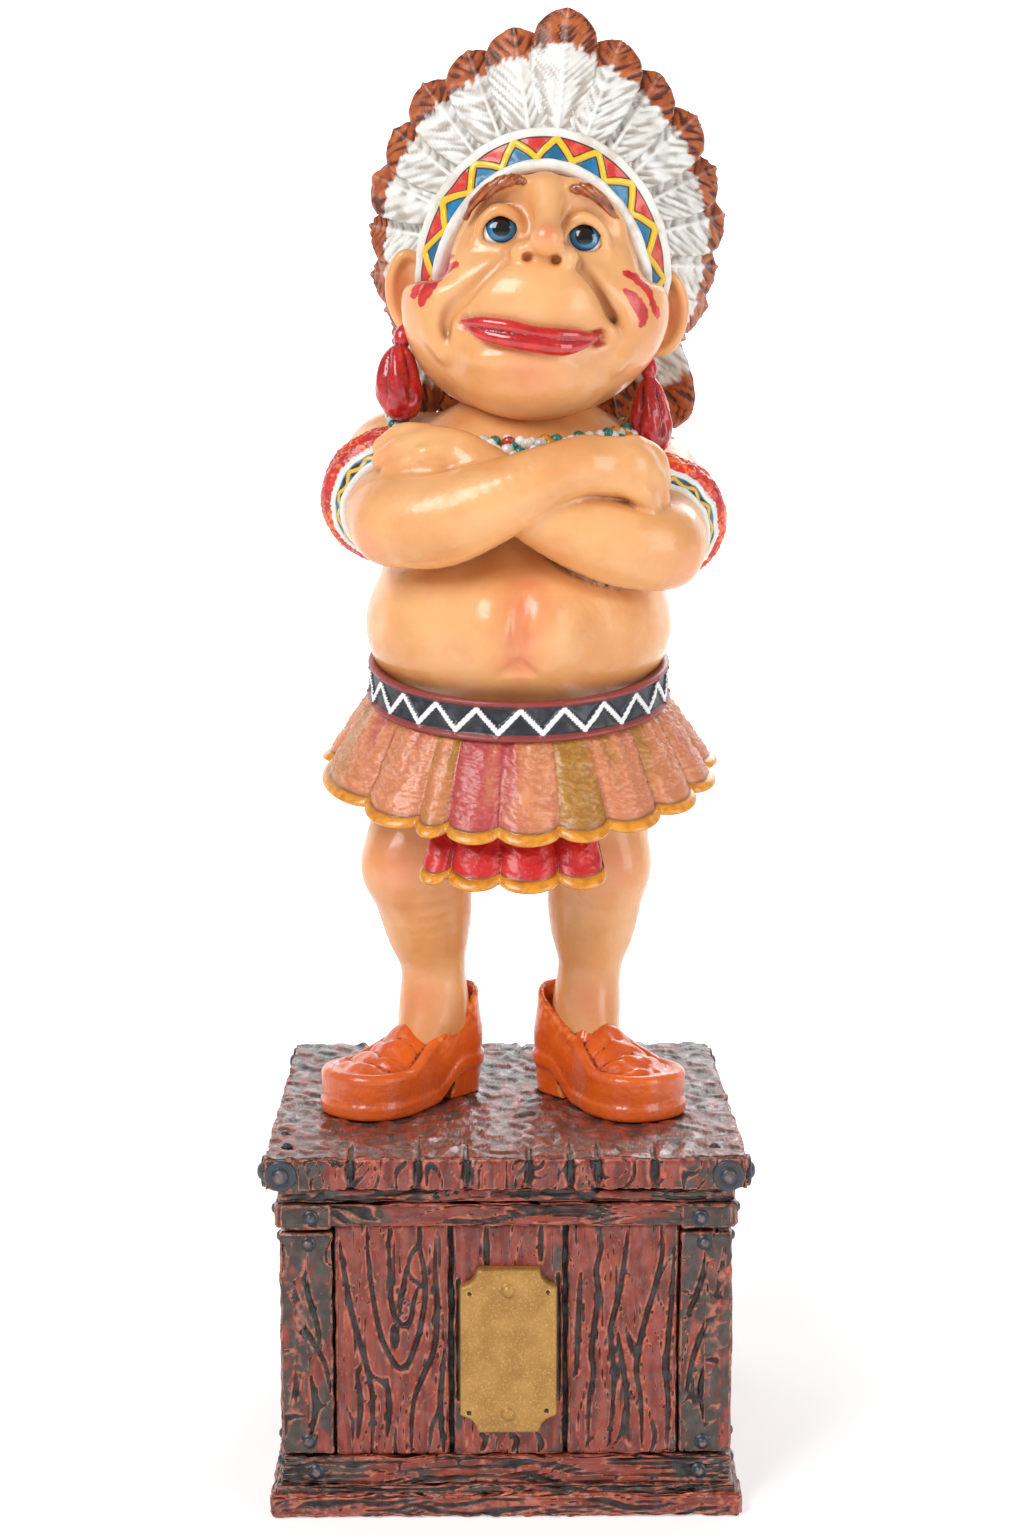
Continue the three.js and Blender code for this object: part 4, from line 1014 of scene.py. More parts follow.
def skirt_layer(turns, down, hem_low, slimmer, seed, loose):
    """A pleated layer: the cloth's outside from the belt down, round the rolled hem, and up its inside."""
    steps = np.append(np.linspace(0, 0.91, CLOTH_FACE), np.linspace(0.915, 1.04, CLOTH_HEM))
    steps = np.append(steps, np.linspace(1.02, 0.05, CLOTH_INSIDE))
    turn, t = np.meshgrid(turns, steps, indexing="ij")
    column = np.arange(len(steps))[None]
    outside = column < CLOTH_FACE
    hem = ~outside & (column < CLOTH_FACE + CLOTH_HEM)
    k, share = pleat_of(turn)
    crest = np.clip(np.sin(math.pi * share), 0, 1) ** 0.5
    tuck = np.clip(1 - t / 0.6, 0, 1) * (0.55 * np.abs(np.cos(2 * math.pi * share + k)) + 0.3 * np.sin(5 * math.pi * share + k))
    grow = np.clip(t, 0, 1) ** 0.85
    deep = crest * (0.3 + PLEAT_DEPTH * grow) + tuck * np.clip(t * 6, 0, 1) * 0.8
    roll_at = np.clip((t - 0.975) / 0.062, -1, 1)
    roll = np.sqrt(np.clip(1 - roll_at ** 2, 0, 1)) * HEM_ROLL
    relief = 0.3 * threads(turn * 28, t * 22, seed) * np.clip(t * 8, 0, 1) * np.clip((0.9 - t) * 14, 0, 1) * loose
    lift = np.where(outside, relief + 0.1 * waves(turn * 28, t * 20, 4, seed + 6), np.where(hem, roll - 0.25, -1.5))
    half = [(BELT_RADII[i] - 1.4) * (1 - grow) + (HEM_RADII[i] - PLEAT_DEPTH) * grow - slimmer for i in (0, 1)]
    x = BELT_AT[0] + np.sin(turn) * (half[0] + deep + lift)
    y = BELT_AT[1] - np.cos(turn) * (half[1] + deep + lift)
    gap = y - 2
    low = SIDE_HEM + np.where(gap < 0, FRONT_DROP, BACK_DROP) * gap - 0.5 * crest + 0.35
    low = low + hem_low
    high = BELT_AT[2] - BELT_HALF + 0.8 + (y - BELT_AT[1]) * math.tan(math.radians(BELT_TILT)) - down
    z = high + (low - high) * t
    points = np.stack([x, y, z], -1).reshape(-1, 3)
    tint = np.array(TINTS)[k] + 0.5 * np.sin(2 * math.pi * share + k) * (1 - t)
    fields = {
        "thread": (relief / 0.3).ravel(),
        "fold": np.clip(1 - crest * 1.5, 0, 1).ravel(),
        "hem": np.clip((t - 0.905) / 0.012, 0, 1).ravel(),
        "seam": np.exp(-((t - 0.908) / 0.012) ** 2).ravel(),
        "tint": tint.ravel(),
        "drop": t.ravel(),
    }
    return points, fields


def cloth_paint(name, body):
    """Painted cloth: a body colour, darker between threads and with painted shade in the folds, and a yellow rolled
    hem, also with painted shade in its folds.
    """
    paint = Finish(name, Roughness=0.4, Coat_Roughness=0.2)
    colour = body(paint)
    # Painted shade in the folds between the pleats.
    dark = paint.mix(1.0, colour, (0.42, 0.2, 0.13), "MULTIPLY")
    colour = paint.mix(paint.field("fold").over(0.45, 0.95) * 0.8, colour, dark)
    yellow = paint.mix(paint.noise(0.7, 3).over(0.35, 0.7), (0.75, 0.3, 0.012), (0.58, 0.19, 0.006))
    # Painted shade in the hem's folds.
    yellow = paint.mix(paint.field("fold").over(0.7, 1) * 0.7, yellow, (0.2, 0.05, 0.003))
    colour = paint.mix(paint.field("hem"), colour, yellow)
    colour = paint.mix(paint.field("seam") * 0.85, colour, (0.14, 0.04, 0.012))
    return paint.drive(
        Base_Color=colour,
        Roughness=0.5 - 0.25 * paint.noise(0.8, 3),
        Coat_Weight=0.3 + 0.4 * paint.field("hem"),
        Normal=paint.bump(paint.noise(1.6, 5), 0.2, 0.6),
    )


def patterned(paint):
    """Salmon with drifts of ochre and magenta, pale on the threads and brown between them."""
    drift = (paint.noise(0.11, 3, paint.stretch(1, 1, 0.5)) - 0.5) * 2.6
    tint = paint.field("tint") + drift
    colour = paint.mix(tint.over(0.1, 1.1), (0.66, 0.24, 0.11), (0.42, 0.19, 0.025))
    colour = paint.mix(tint.over(-0.05, -0.9), colour, (0.5, 0.07, 0.07))
    deep = paint.mix(1.0, colour, (0.5, 0.33, 0.28), "MULTIPLY")
    colour = paint.mix(paint.field("thread").over(0.45, 0.05) * 0.3, colour, deep)
    return paint.mix(paint.field("thread").over(0.6, 1) * 0.2, colour, (0.78, 0.4, 0.2))


def plain_red(paint):
    colour = paint.mix(paint.noise(0.3, 4).over(0.35, 0.7), (0.6, 0.012, 0.012), (0.42, 0.006, 0.008))
    return paint.mix(paint.field("thread") * paint.noise(0.7, 3).over(0.5, 0.7) * 0.7, colour, (0.8, 0.12, 0.09))


points, fields = skirt_layer(np.radians(np.linspace(-90, 270, SKIRT_ROUND, endpoint=False)), 0, 0, 0, 501, 1.0)
faces = grid_faces(SKIRT_ROUND, len(points) // SKIRT_ROUND, True)
skirt = add_piece("skirt", on_lid(points), faces, cloth_paint("patterned_cloth", patterned), fields)
fit(skirt, "figure")
turns = np.radians(np.linspace(*FLAP_TURNS, FLAP_ROUND))
points, fields = skirt_layer(turns, 8, FLAP_LOW - 47.2, 0.9, 521, 0.5)
faces = grid_faces(FLAP_ROUND, len(points) // FLAP_ROUND, False)
flap = add_piece("skirt_under_layer", on_lid(points), faces, cloth_paint("red_cloth", plain_red), fields)
fit(flap, "figure")

# The arm cuffs: fat ribbons round the upper arms, cast with them. From the shoulder down each has a
# puffed red part with orange squiggles, a white cord, a dark blue band with a yellow zigzag, and a white rim.
CUFFS = {"right": ((-17.4, -4.6, 97), (0.16, -0.92, -0.36), 10), "left": ((24.2, -4.4, 93.4), (-0.1, -0.93, -0.34), 9.5)}
CUFF_FROM, CUFF_TO, CUFF_CONE = -4.6, 3.5, 0.52
CUFF_ROUND, CUFF_FACE, CUFF_INSIDE = 200, 42, 6  # points round it, along its face and along its inside


def cuff_points(centre, axis, radius, seed):
    axis = np.array(axis) / np.linalg.norm(axis)
    side = np.cross(axis, (0, 0, 1.0))
    side /= np.linalg.norm(side)
    up = np.cross(side, axis)
    turn = np.linspace(0, 2 * math.pi, CUFF_ROUND, endpoint=False)[:, None]
    u = np.linspace(CUFF_FROM, CUFF_TO, CUFF_FACE)
    u = np.append(u, np.linspace(CUFF_TO - 0.4, CUFF_FROM + 0.4, CUFF_INSIDE))[None]
    outside = (np.arange(u.size) < CUFF_FACE)[None]
    puff = np.sqrt(np.clip(1 - ((u + 2.1) / 2.6) ** 2, 0, 1))
    squiggle = threads(turn * 12, u * 1.1, seed) * (puff > 0.25)
    cord = np.sqrt(np.clip(1 - ((u - 0.75) / 0.35) ** 2, 0, 1))
    rim = np.sqrt(np.clip(1 - ((u - 3.1) / 0.42) ** 2, 0, 1))
    line = np.abs(u - 1.9 - zigzag(turn / (2 * math.pi) * 15, 0.5)) * 0.8
    on_band = (u > 1.1) & (u < 2.7)
    raised = np.clip((0.3 - line) / 0.12, 0, 1) * on_band
    out = 1.1 * puff + 0.22 * squiggle + 0.55 * cord + 0.65 * rim + 0.28 * raised + 0.1 * waves(turn * 10, u, 4, seed + 4)
    out = np.where(outside, out, -1.6)
    r = radius + out - CUFF_CONE * np.clip(u + 0.5, 0, None)
    points = np.array(centre) + axis * np.broadcast_to(u, r.shape)[..., None]
    points = points + side * (r * np.cos(turn))[..., None] + up * (r * np.sin(turn))[..., None]
    fields = {
        "zone": np.broadcast_to(u, r.shape).ravel(),
        "raised": np.maximum(raised, squiggle * (u < 0.4)).ravel(),
    }
    return points.reshape(-1, 3), fields


ribbon = Finish("cuff_paint", Roughness=0.3, Coat_Weight=0.4)
zone = ribbon.field("zone")
red = ribbon.mix(ribbon.noise(0.4, 3).over(0.35, 0.7), (0.62, 0.02, 0.014), (0.45, 0.01, 0.01))
red = ribbon.mix(ribbon.field("raised").over(0.25, 0.75) * ribbon.noise(0.25, 2).over(0.4, 0.52), red, (0.82, 0.17, 0.02))
blue = ribbon.mix(ribbon.noise(0.5, 2).over(0.42, 0.55), (0.01, 0.012, 0.02), (0.02, 0.14, 0.24))
blue = ribbon.mix(ribbon.field("raised").over(0.2, 0.6), blue, (0.75, 0.45, 0.04))
colour = ribbon.mix(zone.over(0.3, 0.42), red, (0.75, 0.75, 0.72))
colour = ribbon.mix(zone.over(1.02, 1.12), colour, blue)
colour = ribbon.mix(zone.over(2.62, 2.72), colour, (0.75, 0.75, 0.72))
ribbon.drive(Base_Color=colour, Roughness=0.28 + 0.25 * ribbon.noise(1, 3), Normal=ribbon.bump(ribbon.noise(1.5, 4), 0.15, 0.5))
for k, (side, (centre, axis, radius)) in enumerate(CUFFS.items()):
    points, fields = cuff_points(centre, axis, radius, 540 + 10 * k)
    faces = grid_faces(CUFF_ROUND, CUFF_FACE + CUFF_INSIDE, True)
    fit(add_piece("cuff_" + side, on_lid(points), faces, ribbon, fields), "figure")

# The head: a broad comic face that leans back and to one side, cast on a short neck. A heavy jaw, round
# cheeks and a swelling upper lip lie under a small nose. It is flesh-painted like the body, with ochre
# airbrushed into the folds as partly painted shade, painted shade in the creases, two red stripes on each cheek and a
# touch of pink on the nose and the chin.
# Behind the head band it is painted as a plain ivory felt cap, which the feathers lie on.
JAW = ((4.4, -3.5, 124), (19.5, 16.5, 14.2))
CRANIUM = ((6, 1.5, 137.5), (17.2, 16.5, 17))
MUZZLE = ((4.6, -13.2, 127.6), (11.6, 8.8, 7.8))
CHIN = ((4.2, -12.4, 116.2), (9.5, 7, 6))
CHEEKS = [((-7.4, -7.6, 128.4), (7.8, 7.4, 7.2)), ((17, -7.6, 126.6), (7.8, 7.4, 7.4))]
EYES = {"right": (-0.6, -12.4, 138), "left": (12, -12.1, 136.8)}
EYE_RADII = (3.3, 2.7, 3)
CROWN_AT, HEAD_ARCH = (6.1, 132.2), (14.6, 14.8)
CAP_HALF, CAP_LOW = 16.5, 121
NOSE = [(6.1, -13.6, 145.6, 2.4), (6.4, -15.6, 142.6, 2.1), (6.4, -17.6, 139.6, 1.9), (6.2, -19.8, 136.6, 2.3)]
NOSTRILS = [(3.3, -19.4, 134), (7.6, -19.2, 133.6)]
EARS = {"right": ((-14.6, 1, 129.6), -1), "left": ((25, 1, 126.4), 1)}
LIP_LINE = [(-6.6, -18.2, 124.2), (-4.2, -20, 123.4), (-0.6, -21.4, 122.7), (3.6, -22, 122),
            (7.6, -21.6, 121.5), (11.2, -20, 121.6), (14.2, -17.6, 121.9)]
FOLDS = [  # the folds from the nose's wings round the mouth's corners
    [(0.8, -17.6, 134.4, 0.5), (-2.6, -17.8, 131.2, 0.8), (-6, -17, 128, 0.9), (-8.6, -15.4, 125.4, 0.9), (-8.9, -14.4, 122, 0.6)],
    [(10.2, -17.4, 133.6, 0.5), (12.8, -17.2, 129.8, 0.8), (15, -16, 126.2, 0.9), (17, -14.4, 123.4, 0.9), (16.6, -13.6, 120.4, 0.6)],
]
PAINT_STRIPES = [  # stations of the red cheek stripes, with their half widths
    [(-8, -12, 134.3, 0.4), (-9.9, -11, 133.5, 0.6), (-11.8, -9, 131.9, 0.6), (-13.2, -7, 130, 0.5), (-13.9, -6, 128.4, 0.6)],
    [(-7.4, -13, 133, 0.5), (-9.4, -12, 132, 0.85), (-11, -11, 130.4, 0.9), (-12.2, -9, 128.5, 0.8), (-12.7, -8, 127.2, 0.55)],
    [(18.2, -12, 131.8, 0.4), (20.2, -10, 130.8, 0.75), (21.8, -8, 129.2, 0.6), (22.5, -7, 127.3, 0.45), (23.3, -6, 125.6, 0.6)],
    [(18.3, -13, 129, 0.4), (19.5, -12, 127.8, 0.9), (20.7, -11, 126, 1), (21.1, -10, 124.9, 0.7), (20.6, -10, 123.8, 0.4)],
]


def ear(p, centre, side):
    x, y, z = centre
    flap = ball(p, (x, y, z), (3.3, 2.3, 6.2))
    rim = limb(p, [(x - side * 1.5, y - 1.5, z + 5, 0.9), (x + side * 1.2, y - 1.6, z + 5.4, 1.1), (x + side * 2.9, y - 1, z + 2.2, 1.1),
                   (x + side * 2.9, y - 0.8, z - 1.6, 1), (x + side * 1.2, y - 1, z - 5, 1.1), (x - side * 1, y - 1, z - 6, 1)])
    bowl = ball(p, (x + side * 0.3, y - 2.6, z + 0.2), (2, 1.7, 4.4))
    return cut(blend(flap, rim, 0.8), bowl, 1.2)


def head_field(p):
    whole = blend(ball(p, *JAW), ball(p, *CRANIUM), 8)
    for cheek in CHEEKS:
        whole = blend(whole, ball(p, *cheek), 5)
    whole = blend(whole, ball(p, *CHIN), 5)
    whole = blend(whole, limb(p, [(-6, -11.6, 143.6, 2), (-2.4, -13, 145.6, 2), (2, -13.4, 146, 1.6)]), 3)
    whole = blend(whole, limb(p, [(10.6, -13, 145, 1.6), (14.4, -12, 143.8, 2), (17.6, -9.6, 140.4, 2)]), 3)
    for x, y, z in EYES.values():
        whole = cut(whole, ball(p, (x, y - 5, z + 1.2), (4.4, 3, 4)), 3)
    whole = blend(whole, ball(p, *MUZZLE), 2.6)
    for fold in FOLDS:
        whole = cut(whole, limb(p, fold) + 0.55, 3.2)
    whole = blend(whole, limb(p, NOSE), 2.4)
    whole = blend(whole, ball(p, (6.2, -20.2, 136.4), (2.3, 2.3, 2.1)), 1.2)
    for x, z in ((2.9, 134.6), (8.9, 133.9)):
        whole = blend(whole, ball(p, (x, -17.8, z), (2.1, 2.4, 1.9)), 1.1)
    for x, y, z in NOSTRILS:
        whole = cut(whole, ball(p, (x, y, z - 0.2), (0.75, 1.4, 0.65)), 0.7)
    for (x, y, z), tilt in zip(EYES.values(), (0.3, -0.4)):
        lid = [(x - 3.5, y - 1.3, z - 1.7, 0.7), (x - 2.8, y - 1.7, z + 1.2, 0.95), (x - 0.2, y - 2.2, z + 3.1, 1.05),
               (x + 2.6, y - 1.9, z + 1.4, 0.95), (x + 3.3, y - 1.3, z - 1.8, 0.7)]
        whole = blend(whole, limb(p, lid), 0.9)
        under = [(x - 3.6, y - 1.2, z - 2 - tilt, 0.8), (x, y - 2.4, z - 2.8, 1), (x + 3.5, y - 1.2, z - 2.2 + tilt, 0.8)]
        whole = blend(whole, limb(p, under), 1.0)
        whole = cut(whole, ball(p, (x, y - 0.6, z - 0.1), (2.95, 3, 2.75)), 0.35)
    whole = blend(whole, ball(p, (1.8, -17.8, 118.8), (7, 3, 2)), 3)
    for (x, z), bend in (((-9.4, 123.6), -1), ((17.2, 121.8), 1)):
        lobe = limb(p, [(x + bend * 0.2, -13.4, z + 3.4, 1.2), (x + bend * 1.2, -12.8, z, 1.4), (x - bend * 0.4, -13.6, z - 3.6, 1.2)])
        whole = blend(whole, lobe, 1.8)
    for spot in (LIP_LINE[0], LIP_LINE[-1]):
        whole = cut(whole, ball(p, (spot[0], spot[1] - 0.4, spot[2]), (1.6, 1.6, 1)), 1.2)
    x, z = p[:, 0] - CROWN_AT[0], p[:, 2] - CROWN_AT[1]
    arch = (np.hypot(x / HEAD_ARCH[0], z / HEAD_ARCH[1]) - 1) * HEAD_ARCH[0]
    whole = -blend(-whole, -blend(arch, z + 1.5, 3), 2)
    for centre, side in EARS.values():
        whole = blend(whole, ear(p, centre, side), 1)
    return whole


face, face_colour, face_patches = flesh("face_paint")
stripe_edge = face.field("stripe") + (face.noise(0.9, 3) - 0.5) * 0.9
red = face.mix(face.noise(0.6, 3).over(0.35, 0.65), (0.66, 0.035, 0.03), (0.48, 0.012, 0.016))
face_colour = face.mix(stripe_edge.over(0.12, -0.1), face_colour, red)
face_colour = face.mix((face.field("corner") * (0.5 + face.noise(1.3, 3))).over(0.3, 0.7), face_colour, (0.45, 0.012, 0.01))
felt = face.mix(face.noise(0.35, 4).over(0.4, 0.75), (0.82, 0.8, 0.76), (0.6, 0.55, 0.47))
face_colour = face.mix(face.field("cap"), face_colour, felt)
face.drive(
    Base_Color=face_colour,
    Roughness=0.26 + 0.2 * face.noise(0.6, 3),
    Coat_Weight=0.6 * face.noise(0.25, 2).over(0.3, 0.6),
    Normal=face.bump(face.noise(0.9, 5), 0.12, 0.5),
)
points, faces, way, fields = modelled(head_field, (-20, -26, 108), (31, 20, 157), 0.43)
fields["flush"] = np.maximum(
    0.95 * glow(points, [(6.3, -22, 137.2, 1.7)]),
    0.55 * glow(points, [(3.6, -20, 116.6, 4), (21, -8, 120, 4), (-16, 1, 130, 3.4), (27, 1, 126, 3.4)]),
)
flat = np.array([1, 0, 1])
stripes = [[(x, 0, z, half) for x, y, z, half in stripe] for stripe in PAINT_STRIPES]
fields["stripe"] = np.min([limb(points * flat, stripe) for stripe in stripes], axis=0) + 9 * (points[:, 1] > 0)
corners = [(x, y, z, 1.7) for x, y, z in (LIP_LINE[0], LIP_LINE[-1])]
fields["corner"] = glow(points, corners)
behind_band = points[:, 1] + 1 + 0.4 * (points[:, 2] - CROWN_AT[1])
between_ears = np.abs(points[:, 0] - CROWN_AT[0]) < CAP_HALF
fields["cap"] = eased(2 * behind_band) * between_ears * (points[:, 2] > CAP_LOW)
fit(add_piece("head", on_lid(points), faces, face, fields), "figure")

# The lips: two glossy red rolls, the lower one fuller, that meet in a dark line of painted shade in the crease.
UPPER_LIP = [(-6.4, -18.4, 124.3, 0.35), (-3.6, -20.6, 124.1, 0.85), (0.4, -22, 123.5, 1.0), (4, -22.2, 122.7, 0.9),
             (7.6, -21.8, 122.3, 0.95), (11.2, -20.2, 122.2, 0.8), (13.8, -18, 122, 0.35)]
LOWER_LIP = [(-6, -18.4, 123.9, 0.35), (-3.4, -20.2, 122.5, 1), (0, -21.6, 121.6, 1.25), (4.6, -22, 120.9, 1.4),
             (8.6, -21.2, 120.4, 1.3), (11.6, -19.4, 121, 0.9), (13.8, -17.8, 121.8, 0.35)]
lip_paint = Finish("lip_paint", Roughness=0.18, Coat_Weight=0.8)
colour = lip_paint.mix(lip_paint.noise(0.35, 3).over(0.35, 0.65), (0.6, 0.016, 0.014), (0.42, 0.006, 0.007))
# Painted shade in the crease where the lips meet.
colour = lip_paint.mix(lip_paint.field("crease").over(0.3, 0.9), colour, (0.06, 0.001, 0.002))
lip_paint.drive(Base_Color=colour, Normal=lip_paint.bump(lip_paint.noise(1.5, 4), 0.12, 0.5))
points, faces, way, fields = modelled(
    lambda p: blend(limb(p, UPPER_LIP), limb(p, LOWER_LIP), 0.12), (-9, -26, 117), (16, -15, 127), 0.26)
fit(add_piece("lips", on_lid(points), faces, lip_paint, fields), "figure")

# The eyes: domes set in the sockets, painted white with a blue iris, a black pupil and a black upper lid that is partly
# painted eyeliner and partly painted shade under the lid.
for side, (x, y, z) in EYES.items():
    white_paint = Finish("eye_" + side + "_paint", Roughness=0.08, Coat_Weight=0.6)
    look_x, look_z = x + 0.1, z + 0.55
    height = white_paint.stretch(1, 0, 1)
    away = white_paint.node("ShaderNodeVectorMath", {"operation": "DISTANCE"}, {0: height, 1: (look_x, 0, look_z + LID_TOP)}, "Value")
    blue = white_paint.mix(away.over(1.5, 2.3), (0.01, 0.2, 0.42), (0.008, 0.1, 0.24))
    colour = white_paint.mix(away.over(2.42, 2.28), (0.82, 0.8, 0.76), (0.003, 0.012, 0.03))
    colour = white_paint.mix(away.over(2.26, 2.12), colour, blue)
    colour = white_paint.mix(away.over(1.52, 1.4), colour, (0.002, 0.002, 0.003))
    # Black over the top of the eye: partly eyeliner and partly painted shade under the lid.
    lidded = white_paint.node("ShaderNodeVectorMath", {"operation": "DISTANCE"}, {0: height, 1: (x, 0, z - 1.2 + LID_TOP)}, "Value")
    colour = white_paint.mix(lidded.over(2.85, 3.15), colour, (0.003, 0.003, 0.004))
    white_paint.drive(Base_Color=colour, Roughness=0.06 + 0.06 * white_paint.noise(0.8, 2))
    rows, columns = 40, 52
    lean, turn = np.meshgrid(np.linspace(0.03, math.pi - 0.03, rows), np.linspace(0, 2 * math.pi, columns, endpoint=False), indexing="ij")
    ring = np.stack([np.sin(lean) * np.cos(turn), -np.cos(lean), np.sin(lean) * np.sin(turn)], -1)
    points = (np.array((x, y, z)) + ring * EYE_RADII).reshape(-1, 3)
    fit(add_piece("eye_" + side, on_lid(points), grid_faces(rows, columns, False), white_paint), "figure")

# The eyebrows: raised, glossy chestnut strokes combed with fine hairs.
BROWS = {
    "right": [(-6, -12.4, 140, 0.45), (-4.8, -13.3, 142, 0.75), (-3, -14, 143.7, 0.95), (-1, -14.6, 144.9, 1.1), (1.4, -14.9, 145.6, 1), (2.9, -14.8, 145.2, 0.6)],
    "left": [(10.4, -14.8, 144.2, 0.8), (12.2, -14.9, 144.1, 1.1), (14, -14, 143.1, 1.05), (15.6, -12.9, 141.6, 0.9), (17.1, -11.4, 139.6, 0.65), (17.9, -10.4, 138.2, 0.4)],
}
brow_paint = Finish("eyebrow_paint", Roughness=0.25, Coat_Weight=0.6)
colour = brow_paint.mix(brow_paint.noise(0.8, 3).over(0.35, 0.7), (0.5, 0.13, 0.025), (0.3, 0.06, 0.01))
colour = brow_paint.mix(brow_paint.field("comb") * 0.75, colour, (0.12, 0.02, 0.004))
brow_paint.drive(Base_Color=colour, Normal=brow_paint.bump(brow_paint.noise(1.5, 3), 0.1, 0.5))
for k, (side, stations) in enumerate(BROWS.items()):
    low = np.min(stations, axis=0)[:3] - 2
    high = np.max(stations, axis=0)[:3] + 2
    points, faces, way, fields = modelled(lambda p: limb(p, stations, 8), low, high, 0.24)
    lean = points[:, 2] - (-1) ** k * 0.9 * points[:, 0]
    comb = np.clip(0.5 + 0.9 * waves(lean, points[:, 0] * 0.2, 0.8, 600 + k), 0, 1)
    points = points - way * (0.16 * comb)[:, None]
    fields["comb"] = comb
    fit(add_piece("eyebrow_" + side, on_lid(points), faces, brow_paint, fields), "figure")

# The head band: a white strip arched over the head, cast with it, with a rolled inner rim. Between its
# edges a raised yellow zigzag parts red fields outside from blue fields inside, all edged in black.
CROWN_RADII, CROWN_LEAN = (17.6, 20.2), math.radians(6)
BAND_ENDS = math.radians(103)
BAND_IN, BAND_OUT = -6.1, 0.5
FIELD_IN, FIELD_OUT = -4.3, -0.8
BAND_TEETH = 9.5
BAND_LONG, BAND_FACE, BAND_BACK = 340, 38, 10  # points along it, across its face and across its back


def crown(turn, grow, forward=0):
    """A place on the arch of the head band, out from the head by grow and towards the viewer by forward."""
    a = turn + CROWN_LEAN
    low = 1 - np.cos(turn)
    back = -8.6 + 9.5 * low / 1.25 + np.clip(low - 1.3, 0, None) * 6
    tilt = np.radians(20 + 38 * np.clip(low, 0, 1.1))
    tall = np.where(np.cos(a) > 0, 1, 0.72) * CROWN_RADII[1]
    away = grow * np.cos(tilt) + forward * np.sin(tilt)
    x = CROWN_AT[0] + np.sin(a) * (CROWN_RADII[0] + away)
    z = CROWN_AT[1] + np.cos(a) * (tall + away)
    y = back + grow * np.sin(tilt) - forward * np.cos(tilt)
    return np.stack(np.broadcast_arrays(x, y, z), -1)


turn = np.linspace(-BAND_ENDS, BAND_ENDS, BAND_LONG)[:, None]
grow = np.append(np.linspace(BAND_IN, BAND_OUT, BAND_FACE), np.linspace(BAND_OUT, BAND_IN, BAND_BACK))[None]
front = (np.arange(grow.size) < BAND_FACE)[None]
along = (turn / BAND_ENDS * 0.5 + 0.5) * BAND_TEETH + 0.25
middle, half = (FIELD_IN + FIELD_OUT) / 2, (FIELD_OUT - FIELD_IN) / 2
line = np.abs(grow - middle - zigzag(along, half - 0.2)) * 0.7
rim = np.sqrt(np.clip(1 - ((grow - BAND_IN - 0.85) / 1.0) ** 2, 0, 1))
edge = np.sqrt(np.clip(1 - ((grow - BAND_OUT + 0.55) / 0.7) ** 2, 0, 1))
in_field = (grow > FIELD_IN) & (grow < FIELD_OUT)
raised = np.clip((0.5 - line) / 0.15, 0, 1) * in_field
forward = 1.2 + (grow - BAND_IN) * 0.16 + 1.0 * rim + 0.5 * edge + 0.38 * raised + 0.06 * waves(turn * 20, grow, 3, 640)
forward = np.where(front, forward, -1.2)
points = crown(turn, grow, forward).reshape(-1, 3)
tooth = (grow - middle) - zigzag(along, half - 0.2)
fields = {
    "raised": raised.ravel(),
    "side": np.broadcast_to(tooth * 0.7, line.shape).ravel(),
    "grow": np.broadcast_to(grow, line.shape).ravel(),
    "along": np.broadcast_to(along, line.shape).ravel(),
}
band = Finish("head_band_paint", Roughness=0.28, Coat_Weight=0.45)
ivory = band.mix(band.noise(0.35, 4).over(0.4, 0.75), (0.82, 0.8, 0.76), (0.6, 0.55, 0.47))
side = band.field("side")
red = band.mix(band.noise(0.6, 2).over(0.45, 0.65), (0.6, 0.02, 0.015), (0.7, 0.09, 0.05))
blue = band.mix(band.noise(0.3, 2).over(0.4, 0.6), (0.008, 0.2, 0.42), (0.006, 0.12, 0.25))
colour = band.mix(side.over(0, 0.01), blue, red)
colour = band.mix(abs(side).over(0.72, 0.6), colour, (0.006, 0.006, 0.01))
colour = band.mix(abs(side).over(0.52, 0.44), colour, (0.8, 0.5, 0.01))
grow_here = band.field("grow")
inked = grow_here.over(FIELD_IN + 0.2, FIELD_IN + 0.12) + grow_here.over(FIELD_OUT - 0.2, FIELD_OUT - 0.12)
colour = band.mix(inked * abs(side).over(0.4, 0.6), colour, (0.006, 0.006, 0.01))
colour = band.mix(grow_here.over(FIELD_OUT, FIELD_OUT + 0.1), colour, ivory)
colour = band.mix(grow_here.over(FIELD_IN, FIELD_IN - 0.1), colour, ivory)
band.drive(Base_Color=colour, Roughness=0.25 + 0.25 * band.noise(0.9, 3), Normal=band.bump(band.noise(1.2, 4), 0.12, 0.5))
faces = grid_faces(BAND_LONG, BAND_FACE + BAND_BACK, False)
fit(add_piece("head_band", on_lid(points), faces, band, fields), "figure")

# The feathers: a fan of nineteen round the band, cast as one with it, and behind it rows that lie on the cap
# and a trailer down the neck. Each has a raised white shaft, combed white barbs with a brown-grey wash, and a
# lobed, rust-brown tip.
FEATHER_LONG, FEATHER_WIDE, FEATHER_THICK = 19.5, 10.6, 1.8
FAN_SIDE, FAN_STEP = 9, math.radians(13.4)
TRAILER, ROOF = 6, 7
FAN_GRID, BACK_GRID = (56, 36), (36, 26)  # points along and round a feather


